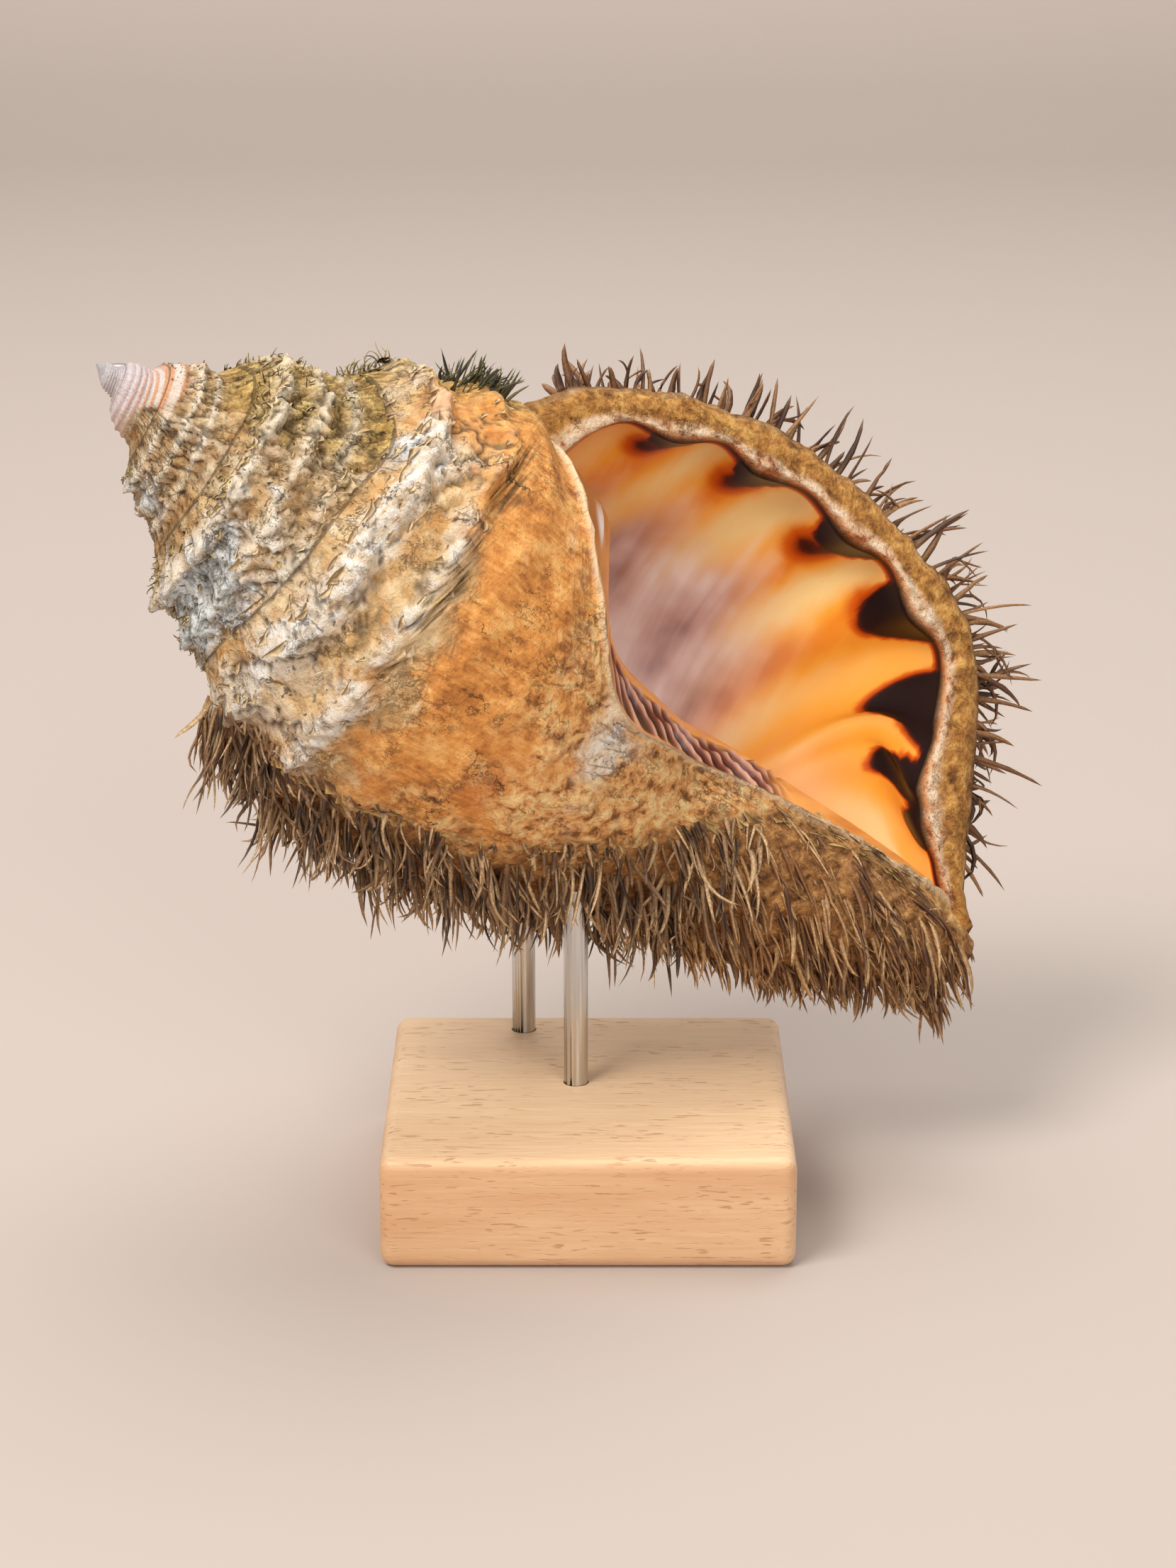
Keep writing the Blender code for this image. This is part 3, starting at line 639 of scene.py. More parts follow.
outline = np.concatenate([outside[-1], parietal[-2:0:-1]])
all_points = np.concatenate(shell_points)
at_rim = rim_radii + through(FLUTES, rim_run) - 0.5
rim_place = place(at_rim, np.zeros_like(rim_radii), rim_heights)
h_in = RIM[0][0] + (RIM[-1][0] - RIM[0][0]) * down_in[::-1]
rim_inner = place(parietal_radius(-1.012, h_in), np.full_like(h_in, -0.012), h_in)
edge = np.concatenate([rim_place, rim_inner])
on_lip = np.concatenate([np.ones(len(rim_place)), np.zeros(len(rim_inner))])
thick = np.linalg.norm(edge - all_points[outline], axis=1) / MM
lip_rings = [outline]
for step in range(1, LIP_RINGS):
    across = (step / LIP_RINGS) ** 0.85
    points = all_points[outline] * (1 - across) + edge * across
    swell = LIP_SWELL * math.sin(math.pi * across) ** 0.7 * on_lip * smooth(0.5, 4, thick)
    swell = swell + 0.35 * grain(points, 1.6, 3, 2.2) * on_lip * min(1, 4 * across)
    crusty = smooth(0.67, 0.76, across + 0.06 * grain(points, 3, 2, 1.0)) * on_lip
    ridge = LIP_EDGE_RIDGE * bump(0.88, 0.09, across) * on_lip
    ridge = ridge * (1 + 0.8 * grain(points, 1.1, 2, 4.0))
    points = points + GROWING * MM * (swell + ridge)[:, None]
    lip_rings.append(add_points(points, lip=on_lip, crust=crusty, callus=1 - on_lip,
                                height=np.concatenate([rim_heights, h_in])))
for step in range(CAVITY_RINGS + 1):
    lip_rings.append(cavity_ring(CAVITY_TURNS * (step / CAVITY_RINGS) ** 1.35))
lip_rings = np.array([np.append(ring, ring[0]) for ring in lip_rings])
skin_quads(lip_rings, shell_faces)
shell_faces.append(lip_rings[-1, :-1].tolist())

marks = {name: np.concatenate(blocks) for name, blocks in marks.items()}
shell = new_piece("triton_shell", np.concatenate(shell_points), shell_faces, marks)
winding = along_growth(marks["turn"], marks["height"], 1, 1)
layer = shell.data.attributes.new("winding", "FLOAT_VECTOR", "POINT")
layer.data.foreach_set("vector", winding.astype(np.float32).ravel())
shell.data.shade_smooth()
edit_whole(shell, bpy.ops.mesh.normals_make_consistent, inside=False)


def colour(red, green, blue):
    """A linear colour with full cover, from its everyday values of 0 to 255."""
    everyday = np.array((red, green, blue)) / 255
    linear = np.where(everyday <= 0.04045, everyday / 12.92, ((everyday + 0.055) / 1.055) ** 2.4)
    return (*map(float, linear), 1.0)


class Finish:
    """A material whose nodes are laid with one short call each."""

    def __init__(self, name):
        self.material = bpy.data.materials.new(name)
        self.material.use_nodes = True
        self.tree = self.material.node_tree
        self.shader = self.tree.nodes["Principled BSDF"]
        self.on_object = self.tree.nodes.new("ShaderNodeTexCoord").outputs["Object"]

    def node(self, kind, settings=None, **inputs):
        """A node with its settings and its inputs, which are named with _ for a space."""
        made = self.tree.nodes.new("ShaderNode" + kind)
        for name, value in (settings or {}).items():
            setattr(made, name, value)
        for name, value in inputs.items():
            self.plug(made.inputs[name.replace("_", " ")], value)
        return made

    def plug(self, socket, value):
        """Links a socket, or sets a constant: three numbers are an everyday colour, four a linear one."""
        if isinstance(value, bpy.types.NodeSocket):
            self.tree.links.new(value, socket)
        elif socket.type == "RGBA" and len(value) == 3:
            socket.default_value = colour(*value)
        else:
            socket.default_value = value

    def mark(self, name):
        return self.node("Attribute", {"attribute_name": name}).outputs["Fac"]

    def way(self, name):
        return self.node("Attribute", {"attribute_name": name}).outputs["Vector"]

    def grain(self, size, detail=4, roughness=0.55, distortion=0.0, stretch=(1, 1, 1), vector=None):
        """Noise of 0 to 1 with lumps of this size in millimetres."""
        scaled = self.node("Mapping", Vector=vector or self.on_object, Scale=stretch)
        return self.node("TexNoise", Vector=scaled.outputs["Vector"], Scale=1 / (size * MM),
                         Detail=detail, Roughness=roughness, Distortion=distortion).outputs["Fac"]

    def crackle(self, size, vector):
        """The distance to the nearest crack of a crackled surface, in cells of this size."""
        cells = self.node("TexVoronoi", {"feature": "DISTANCE_TO_EDGE"}, Vector=vector,
                          Scale=1 / (size * MM))
        return cells.outputs["Distance"]

    def spread(self, value, low, high, to_low=0.0, to_high=1.0):
        """The value from low to high, drawn out along an S to run from to_low to to_high."""
        return self.node("MapRange", {"interpolation_type": "SMOOTHSTEP"}, Value=value, From_Min=low,
                         From_Max=high, To_Min=to_low, To_Max=to_high).outputs["Result"]

    def sum(self, first, second):
        return self.combine("ADD", first, second)

    def times(self, first, second):
        return self.combine("MULTIPLY", first, second)

    def combine(self, operation, first, second):
        made = self.node("Math", {"operation": operation})
        self.plug(made.inputs[0], first)
        self.plug(made.inputs[1], second)
        return made.outputs[0]

    def ramp(self, value, *stops):
        """A colour from a value, through (place, colour) stops."""
        made = self.node("ValToRGB", Fac=value)
        elements = made.color_ramp.elements
        while len(elements) < len(stops):
            elements.new(1.0)
        for element, (at, shade) in zip(elements, stops):
            element.position = at
            element.color = colour(*shade)
        return made.outputs["Color"]

    def mix(self, share, below, above):
        made = self.node("Mix", {"data_type": "RGBA"})
        self.plug(made.inputs[0], share)
        self.plug(made.inputs[6], below)
        self.plug(made.inputs[7], above)
        return made.outputs[2]

    def mix_value(self, share, below, above):
        made = self.node("Mix", {"data_type": "FLOAT"})
        self.plug(made.inputs[0], share)
        self.plug(made.inputs[2], below)
        self.plug(made.inputs[3], above)
        return made.outputs[0]

    def bump(self, height, depth):
        """A surface that is raised this many millimetres by a height of 1."""
        return self.node("Bump", Height=height, Distance=depth * MM, Strength=1.0).outputs["Normal"]

    def finish(self, base_colour, roughness, normal, **constants):
        """The material, with its colour, roughness and surface plugged in."""
        self.plug(self.shader.inputs["Base Color"], base_colour)
        self.plug(self.shader.inputs["Roughness"], roughness)
        self.plug(self.shader.inputs["Normal"], normal)
        for name, value in constants.items():
            self.shader.inputs[name.replace("_", " ")].default_value = value
        return self.material


def shell_finish():
    """Brown skin over chalk outside, and porcelain that goes from orange to mauve inside."""
    f = Finish("triton_shell")
    winding = f.way("winding")
    blotches, mottle, speck = f.grain(5.5, 6, 0.6), f.grain(1.7, 6, 0.65, 0.4), f.grain(0.45, 3, 0.6)
    drawn = f.grain(1.1, 5, 0.65, 0.3, (0.2, 0.2, 1), winding)
    skin = f.ramp(f.sum(f.times(mottle, 0.6), f.times(drawn, 0.4)),
                  (0.33, (92, 58, 28)), (0.43, (206, 156, 98)),
                  (0.54, (242, 202, 144)), (0.65, (255, 240, 206)))
    plate = f.ramp(f.mark("plate"), (0.0, (192, 134, 72)), (0.3, (230, 184, 124)),
                   (0.6, (250, 222, 176)), (0.95, (238, 220, 196)))
    skin = f.mix(f.times(f.spread(f.mark("plate"), 0.0, 0.1), 0.5), skin, plate)
    skin = f.mix(f.spread(blotches, 0.5, 0.68, 0, 0.6), skin, (210, 142, 70))
    tan = f.ramp(mottle, (0.36, (138, 86, 42)), (0.48, (236, 168, 100)), (0.61, (255, 218, 152)))
    on_last = f.spread(f.mark("turn"), -1.01, -0.97)
    skin = f.mix(f.times(on_last, f.spread(f.mark("down"), 0.3, 0.42)), skin, tan)
    wrinkle = f.grain(0.7, 4, 0.6, 0.2, (1, 1, 0.22), winding)
    amber = f.ramp(f.sum(f.times(blotches, 0.4), f.sum(f.times(mottle, 0.35), f.times(wrinkle, 0.25))),
                   (0.38, (156, 92, 42)), (0.5, (218, 144, 70)), (0.62, (246, 190, 114)))
    skin = f.mix(f.mark("amber"), skin, amber)
    skin = f.mix(f.times(f.mark("glow"), 0.55), skin, (206, 108, 38))
    skin = f.mix(f.times(f.mark("valley"), f.spread(mottle, 0.4, 0.6, 0.6, 0.2)), skin, (140, 98, 54))
    pale = f.ramp(f.sum(f.times(mottle, 0.5), f.times(drawn, 0.5)),
                  (0.34, (164, 128, 92)), (0.45, (244, 222, 192)), (0.58, (255, 250, 242)))
    skin = f.mix(f.mark("pale"), skin, pale)
    moss = f.ramp(f.sum(f.times(mottle, 0.6), f.times(speck, 0.4)), (0.36, (54, 44, 20)),
                  (0.48, (176, 138, 56)), (0.62, (242, 206, 118)))
    skin = f.mix(f.times(f.mark("moss"), 0.8), skin, moss)
    skin = f.mix(f.times(f.mark("cord"), f.spread(mottle, 0.38, 0.5, 0.3, 0.9)), skin, (252, 234, 206))
    chalk = f.ramp(mottle, (0.35, (112, 118, 112)), (0.46, (204, 212, 212)), (0.6, (250, 253, 254)))
    skin = f.mix(f.times(f.mark("chalk"), 0.85), skin, chalk)
    # Long dark cracks break the skin, and the pale parts are finely crackled.
    shifted = f.node("VectorMath", {"operation": "ADD"})
    shift = f.times(f.grain(2.6, 5, 0.7), 6.0 * MM)
    f.plug(shifted.inputs[0], f.node("Mapping", Vector=winding, Scale=(0.8, 0.8, 0.45)).outputs["Vector"])
    f.plug(shifted.inputs[1], f.node("Mapping", Vector=shift).outputs["Vector"])
    long_cracks = f.spread(f.crackle(9.0, shifted.outputs[0]), 0.0, 0.022, 1, 0)
    long_cracks = f.times(long_cracks, f.spread(f.grain(7.0, 3, 0.6), 0.53, 0.61))
    fine_cracks = f.spread(f.crackle(2.4, shifted.outputs[0]), 0.0, 0.06, 0.5, 0)
    fine_cracks = f.times(fine_cracks, f.spread(f.grain(6.0, 3, 0.6), 0.45, 0.62))
    cracks = f.combine("MAXIMUM", long_cracks, fine_cracks)
    cracks = f.times(cracks, f.mix_value(f.mark("tip"), 1.0, 0.0))
    # Reddish streaks run beside the inner lip.
    streaks = f.spread(f.grain(2.0, 5, 0.65, 0.5, (1, 1, 0.45), winding), 0.52, 0.66)
    skin = f.mix(f.times(f.times(streaks, f.mark("streaked")), 0.7), skin, (128, 62, 44))
    freckles = f.times(f.spread(speck, 0.62, 0.7), f.spread(blotches, 0.46, 0.6))
    skin = f.mix(f.times(freckles, 0.55), skin, (92, 44, 34))
    skin = f.mix(f.times(cracks, 0.8), skin, (64, 38, 22))
    # Painted shade in the seams, hollows and crevices that the gap mark covers.
    shadow = f.ramp(mottle, (0.35, (40, 28, 16)), (0.6, (104, 78, 46)))
    skin = f.mix(f.times(f.mark("gap"), 0.9), skin, shadow)
    hairy = f.ramp(f.sum(f.times(mottle, 0.5), f.times(drawn, 0.5)), (0.36, (82, 48, 24)),
                   (0.5, (166, 112, 60)), (0.64, (224, 166, 98)))
    skin = f.mix(f.mark("hairy"), skin, hairy)
    from_tip = f.times(f.mark("height"), 0.06)
    between = f.ramp(from_tip, (0.05, (250, 244, 242)), (0.3, (244, 230, 230)),
                     (0.5, (246, 228, 212)), (0.8, (238, 200, 160)))
    corded = f.ramp(from_tip, (0.05, (246, 236, 238)), (0.3, (236, 204, 198)),
                    (0.45, (238, 176, 132)), (0.8, (222, 138, 84)))
    tip = f.mix(f.spread(f.mark("tip_cord"), 0.35, 0.8), between, corded)
    skin = f.mix(f.times(f.spread(f.mark("tip"), 0.1, 0.7), f.spread(mottle, 0.3, 0.4, 0.6, 1)), skin, tip)
    skin = f.mix(f.mark("cream_edge"), skin, (244, 210, 168))
    # The lip's face is golden brown, with a pink and cream crust along the mouth.
    face = f.ramp(mottle, (0.33, (118, 74, 32)), (0.5, (190, 130, 62)), (0.65, (230, 176, 98)))
    crust = f.ramp(mottle, (0.36, (168, 98, 62)), (0.46, (240, 194, 150)), (0.62, (255, 230, 198)))
    lip = f.mix(f.mark("crust"), face, crust)
    skin = f.mix(f.mark("lip"), skin, lip)
    # Porcelain: orange for a few millimetres, then a mauve grey with soft bands.
    depth, flute = f.mark("depth"), f.mark("flute")
    streak = f.grain(4.5, 3, 0.5, 0.3, (0.16, 0.16, 1), winding)
    soft = f.sum(f.times(f.grain(8, 2, 0.5), 0.4), f.times(streak, 0.6))
    # The orange is the porcelain's own colour; the raised flutes are painted lighter, up to a pale painted
    # highlight on their crests.
    orange = f.ramp(f.sum(f.times(soft, 0.6), f.times(flute, 0.35)), (0.30, (238, 126, 26)),
                    (0.47, (255, 176, 62)), (0.66, (255, 222, 150)))
    mauve = f.ramp(f.sum(f.times(soft, 0.85), f.times(flute, 0.12)), (0.36, (150, 110, 104)),
                   (0.5, (216, 178, 166)), (0.64, (250, 230, 218)))
    fade = f.sum(f.times(depth, 0.075), f.times(f.sum(soft, -0.5), 2.0))
    fade = f.sum(fade, f.times(flute, -0.3))
    orange = f.mix(f.spread(f.mark("height"), 94, 106, 0, 0.8), orange, (248, 168, 56))
    orange = f.mix(f.spread(f.mark("height"), 70, 54, 0, 0.65), orange, (255, 160, 48))
    above_canal = f.spread(f.mark("height"), 103, 88)
    porcelain = f.mix(f.times(f.spread(fade, 0.6, 1.2, 0, 0.5), above_canal), orange, (255, 206, 146))
    porcelain = f.mix(f.times(f.spread(fade, 0.85, 1.95), above_canal), porcelain, mauve)
    halo = f.ramp(f.mark("tooth"), (0.0, (240, 140, 40)), (0.35, (206, 84, 14)),
                  (0.55, (84, 26, 14)), (0.7, (30, 19, 20)))
    porcelain = f.mix(f.spread(f.mark("tooth"), 0.04, 0.3), porcelain, halo)
    callus = f.ramp(soft, (0.3, (214, 124, 50)), (0.6, (250, 172, 92)))
    # Towards the top of the mouth the callus is darkened with painted shade.
    callus = f.mix(f.spread(f.mark("height"), 66, 56, 0, 0.7), callus, (138, 72, 34))
    porcelain = f.mix(f.mark("callus"), porcelain, callus)
    porcelain = f.mix(f.mark("chip"), porcelain, (246, 238, 232))
    folds = f.ramp(f.mark("fold"), (0.34, (42, 17, 14)), (0.64, (128, 64, 50)), (0.92, (230, 176, 148)))
    porcelain = f.mix(f.mark("columella"), porcelain, folds)
    glazed = f.combine("MAXIMUM", f.mark("inside"), f.mark("callus"))
    skin = f.mix(glazed, skin, porcelain)
    matt = f.mix_value(glazed, 1.0, 0.0)
    gloss = f.mix_value(f.mark("tip"), 0.82, 0.55)
    height = f.sum(f.times(mottle, 0.9), f.sum(f.times(speck, 0.35), f.times(drawn, 0.5)))
    height = f.sum(height, f.sum(f.times(cracks, -0.5), f.times(wrinkle, 0.25)))
    height = f.times(height, f.times(matt, f.mix_value(f.mark("amber"), 1.0, 0.4)))
    return f.finish(skin, f.mix_value(glazed, gloss, 0.33), f.bump(height, 1.1), Specular_IOR_Level=0.35)


shell.data.materials.append(shell_finish())
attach(shell, "root")
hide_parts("shell")

# ---------------------------------------------------------------- bristles
# The skin grows horny bristles in tracts: long on the belly and along the
# canal, short and thick round the lip, and a sparse row over the back. Each
# is a tapered strap, rooted in the skin, that bends under its own weight.
BRISTLE_STEPS, LIP_BRISTLES, ROOT_DEPTH = 6, 190, 0.5
WORLD_DOWN = np.array((0.0, 0.0, -1.0))
draw = np.random.default_rng(11)


def unit(vectors):
    return vectors / np.maximum(np.linalg.norm(vectors, axis=-1, keepdims=True), 1e-9)


def surface(g, h):
    """A place on the shell's outside, and the direction straight off it."""
    def at(turn, height):
        return place(outside_radius(turn, height), turn, height)

    point = at(g, h)
    along, down = at(g + 0.002, h) - at(g - 0.002, h), at(g, h + 0.3) - at(g, h - 0.3)
    off = unit(np.cross(down, along))
    off = off * np.sign((off * outwards(g)).sum(-1, keepdims=True))
    relief = outside_relief(g, h, point)
    return point + off * relief[..., None] * MM, off


def spun(vectors, axes, angles):
    """Vectors turned round unit axes by these angles."""
    c, s = np.cos(angles)[..., None], np.sin(angles)[..., None]
    along = (vectors * axes).sum(-1, keepdims=True)
    return vectors * c + np.cross(axes, vectors) * s + axes * along * (1 - c)


def grow(roots, ways, lengths, droop, curl):
    """The middle line of each bristle, bending down by its droop and round by its curl."""
    axes = unit(np.cross(ways, draw.normal(size=ways.shape)))
    line, way = [roots], unit(ways)
    for step in range(BRISTLE_STEPS):
        way = spun(way, axes, curl / BRISTLE_STEPS * (0.4 + 1.2 * step / BRISTLE_STEPS))
        way = unit(way + WORLD_DOWN * (droop / BRISTLE_STEPS)[:, None])
        line.append(line[-1] + way * (lengths / BRISTLE_STEPS)[:, None] * MM)
    return np.stack(line, 1)


def gather(lines, clumps, strength):
    """Draws the tips of neighbouring bristles together into clumps."""
    leaders = draw.choice(len(lines), clumps, replace=False)
    away = np.linalg.norm(lines[:, None, 0] - lines[None, leaders, 0], axis=-1)
    leader = leaders[away.argmin(1)]
    share = (np.linspace(0, 1, lines.shape[1]) ** 1.6)[None, :, None]
    pull = strength * draw.uniform(0.3, 1, len(lines))[:, None, None] * share
    return lines * (1 - pull) + lines[leader] * pull


def bristle_mesh(name, lines, widths, flatness, shades):
    """Three-sided straps round their middle lines, closed at the root and the tip."""
    count, steps = lines.shape[0], lines.shape[1] - 1
    ways = unit(np.gradient(lines, axis=1))
    side = unit(np.cross(ways, draw.normal(size=(count, 1, 3))))
    up = np.cross(ways, side)
    along = np.linspace(0, 1, steps + 1)[None, :-1, None]
    taper = (1 - 0.75 * along**2.2) * (0.85 + 0.3 * draw.random((count, steps, 1)))
    radius = 0.5 * widths[:, None, None] * taper * MM
    corners = []
    for angle in np.array((0, 1, 2)) * math.tau / 3:
        offset = side[:, :-1] * math.cos(angle) + up[:, :-1] * math.sin(angle) * flatness[:, None, None]
        corners.append(lines[:, :-1] + offset * radius)
    rings = np.stack(corners, 2).reshape(count, steps * 3, 3)
    points = np.concatenate([rings, lines[:, -1:]], 1)
    faces = [[0, 2, 1]]
    for step in range(steps - 1):
        for k in range(3):
            a, b = 3 * step + k, 3 * step + (k + 1) % 3
            faces.append([a, b, b + 3, a + 3])
    faces += [[3 * steps - 3 + k, 3 * steps - 3 + (k + 1) % 3, 3 * steps] for k in range(3)]
    per = 3 * steps + 1
    every = [[corner + per * n for corner in face] for n in range(count) for face in faces]
    up_strap = np.append(np.repeat(np.linspace(0, 1, steps + 1)[:-1], 3), 1.0)
    piece = new_piece(name, points, every,
                      {"along": np.tile(up_strap, count), "shade": np.repeat(shades, per)})
    piece.data.shade_smooth()
    return piece


def bristle_finish(name, root, dark, middle, light):
    """Horn that is pale at the root, dark along its length and frayed pale at the tip."""
    f = Finish(name)
    horn = f.ramp(f.mark("shade"), (0.1, dark), (0.5, middle), (0.95, light))
    horn = f.mix(f.spread(f.mark("along"), 0.35, 0.0, 0, 0.75), horn, root)
    horn = f.mix(f.spread(f.mark("along"), 0.6, 1.0, 0, 0.35), horn, light)
    streaks = f.grain(0.3, 3, 0.6)
    horn = f.mix(f.spread(streaks, 0.4, 0.65, 0.45, 0), horn, dark)
    return f.finish(horn, 0.62, f.bump(streaks, 0.06))


def sprouting(g, h):
    """How far the bristles have grown near the hair line: short above it, full below it."""
    return 0.3 + 0.7 * smooth(-0.025, 0.035, g - through(HAIR_LINE, h))


def tract(count, heights, turns):
    """Random root places in a band of the last whorl, from a turn, or from above a line, to a turn."""
    h = draw.uniform(*heights, count)
    start = through(turns[0], h) - 0.022 if isinstance(turns[0], tuple) else np.full(count, turns[0])
    return start + (turns[1] - start) * draw.random(count), h


def add_bristles(name, g, h, lengths, width, lean, droop, curl, clumps, strength, finish,
                 flat=(0.5, 1.0), forked=0.15, scatter=0.28, forward=0.0, stands_for=None):
    """A tract of bristles as one piece. They lean off the surface, down it and along the axis."""
    roots, off = surface(g, h)
    down = unit(WORLD_DOWN - off * (off @ WORLD_DOWN)[:, None])
    axis = unit(AXIS - off * (off @ AXIS)[:, None])
    away, droops, along = lean
    ways = unit(off * away + down * droops + axis * along + GROWING * forward
                + scatter * draw.normal(size=off.shape))
    count = len(g)
    lengths = lengths * draw.uniform(0.45, 1.12, count)
    droop, curl = droop * draw.uniform(0.5, 1.5, count), curl * draw.normal(size=count)
    lines = grow(roots - off * ROOT_DEPTH * MM, ways, lengths, droop, curl)
    lines = gather(lines, clumps, strength)
    widths = width * draw.uniform(0.7, 1.3, count)
    split = draw.random(count) < forked
    middle = BRISTLE_STEPS // 2
    twig = grow(lines[split, middle], lines[split, middle + 1] - lines[split, middle]
                + 0.9 * MM * draw.normal(size=(split.sum(), 3)), 0.5 * lengths[split],
                droop[split], curl[split])
    lines = np.concatenate([lines, twig])
    widths = np.concatenate([widths, 0.6 * widths[split]])
    shades = draw.random(len(lines))
    piece = bristle_mesh(name, lines, widths, draw.uniform(*flat, len(lines)), shades)
    piece.data.materials.append(finish)
    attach(piece, "root")
    if stands_for:
        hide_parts(stands_for)


grey_horn = bristle_finish("grey_horn", (176, 130, 78), (60, 41, 28), (150, 109, 71),
                           (240, 200, 150))
brown_horn = bristle_finish("brown_horn", (186, 128, 70), (84, 50, 28), (164, 112, 64),
                            (232, 188, 132))
lip_horn = bristle_finish("lip_horn", (150, 108, 58), (76, 46, 28), (130, 86, 50),
                          (186, 136, 88))

g, h = tract(1050, (35, 99), (HAIR_LINE, -0.36))
add_bristles("belly_bristles", g, h, 10.6 * sprouting(g, h), width=0.72, lean=(0.8, 0.75, 0.1), droop=1.2,
             curl=1.5, clumps=150, strength=0.62, finish=grey_horn, forked=0.3, scatter=0.3,
             stands_for="bristles_belly")
g, h = tract(800, (93, 132), (HAIR_LINE, -0.34))
add_bristles("neck_bristles", g, h, 8.8 * sprouting(g, h), width=0.75, lean=(0.25, 0.7, 0.7), droop=1.2,
             curl=0.7, clumps=110, strength=0.6, finish=brown_horn, scatter=0.24, stands_for="bristles_neck")
g, h = tract(600, (47, 131.5), (-0.34, -0.10))
add_bristles("back_bristles", g, h, 5.5, width=0.5, lean=(0.8, 0.5, 0.2), droop=0.7, curl=0.8, clumps=90,
             strength=0.5, finish=brown_horn, stands_for="bristles_back")
# The lip's bristles stand in a row along the rim, closer together towards its far end.
g, h = tract(LIP_BRISTLES, (46, 131), (-0.02, -0.001))
run = rim_run[-1] * np.linspace(0.01, 0.99, LIP_BRISTLES) ** 0.75
h = np.interp(run, rim_run, rim_heights) + 0.4 * draw.normal(size=LIP_BRISTLES)
add_bristles("lip_bristles", g, h, 6.5 + 4.5 * smooth(10, 55, run), width=0.95, lean=(1.0, 0.1, 0.0),
             droop=0.25, curl=0.9, clumps=90, strength=0.15, finish=lip_horn, flat=(0.35, 0.8), forked=0.3,
             scatter=0.2, forward=0.12, stands_for="bristles_lip")
g, h = draw.uniform(-0.02, -0.008, 14), draw.uniform(50.5, 54.5, 14)
add_bristles("brown_tuft", g, h, 7.5, width=1.3, lean=(1.0, 0.0, -0.2), droop=0.0, curl=0.8, clumps=5,
             strength=0.3, finish=lip_horn, flat=(0.35, 0.6))


# ---------------------------------------------------------------- skin flakes
# Where the skin has dried and torn it stands off the shell in curled slivers:
# along the cords and seams of the spire, and as a ragged hem above the bristles.
FLAKE_COLUMNS, FLAKE_ROWS = 5, 3
FLAKE_THICKNESS, FLAKE_ROOT_DEPTH = 0.08, 0.45


def flake_mesh(name, g, h, across, lengths, rises, lean):
    """Curled slivers. Across is 1 for one that runs round the shell and 0 for one that runs down it."""
    count = len(g)
    roots, off = surface(g, h)
    round_way = unit(np.cross(off, AXIS)) * np.sign(draw.random(count) - 0.5)[:, None]
    down_way = unit(AXIS - off * (off @ AXIS)[:, None])
    run = unit(round_way * across[:, None] + down_way * (1 - across[:, None]))
    aside = np.cross(off, run)
    aside = aside * np.sign((aside @ WORLD_DOWN) + 1e-6)[:, None]
    rise = unit(off + aside * lean[:, None])
    columns, rows = np.linspace(-0.5, 0.5, FLAKE_COLUMNS), np.linspace(0, 1, FLAKE_ROWS)
    points = np.zeros((count, FLAKE_COLUMNS, FLAKE_ROWS, 2, 3))
    ragged = draw.uniform(0.25, 1, (count, FLAKE_COLUMNS)) * (1 - (2 * np.abs(columns)) ** 3 * 0.8)
    bend = draw.normal(size=(count, 1)) * 0.09 * lengths[:, None]
    curl = draw.uniform(0.2, 0.9, count)
    for row, up in enumerate(rows):
        along = columns[None] * lengths[:, None] * (1 - 0.25 * up)
        tall = ragged * rises[:, None] * up
        sway = bend * (2 * columns[None]) ** 2 + tall * curl[:, None] * up
        middle = roots[:, None] + MM * (run[:, None] * along[..., None] + rise[:, None] * tall[..., None]
                                        + aside[:, None] * sway[..., None] - off[:, None] * FLAKE_ROOT_DEPTH)
        half = FLAKE_THICKNESS * (1 - 0.6 * up) * MM
        for side, sign in enumerate((-1, 1)):
            points[:, :, row, side] = middle + aside[:, None] * half * sign
    n = np.arange(FLAKE_COLUMNS * FLAKE_ROWS * 2).reshape(FLAKE_COLUMNS, FLAKE_ROWS, 2)
    faces = []
    for c in range(FLAKE_COLUMNS - 1):
        for r in range(FLAKE_ROWS - 1):
            faces.append([n[c, r, 1], n[c + 1, r, 1], n[c + 1, r + 1, 1], n[c, r + 1, 1]])
            faces.append([n[c, r, 0], n[c, r + 1, 0], n[c + 1, r + 1, 0], n[c + 1, r, 0]])
        faces.append([n[c, 0, 0], n[c + 1, 0, 0], n[c + 1, 0, 1], n[c, 0, 1]])
        faces.append([n[c, -1, 0], n[c, -1, 1], n[c + 1, -1, 1], n[c + 1, -1, 0]])
    for r in range(FLAKE_ROWS - 1):
        faces.append([n[0, r, 0], n[0, r, 1], n[0, r + 1, 1], n[0, r + 1, 0]])
        faces.append([n[-1, r, 0], n[-1, r + 1, 0], n[-1, r + 1, 1], n[-1, r, 1]])
    faces = np.array(faces)
    per = n.size
    every = (faces[None] + per * np.arange(count)[:, None, None]).reshape(-1, 4)
    up_flake = np.broadcast_to(rows[None, None, :, None], (count, FLAKE_COLUMNS, FLAKE_ROWS, 2))
    piece = new_piece(name, points, every.tolist(),
                      {"along": up_flake.ravel(), "shade": np.repeat(draw.random(count), per)})
    edit_whole(piece, bpy.ops.mesh.normals_make_consistent, inside=False)
    return piece


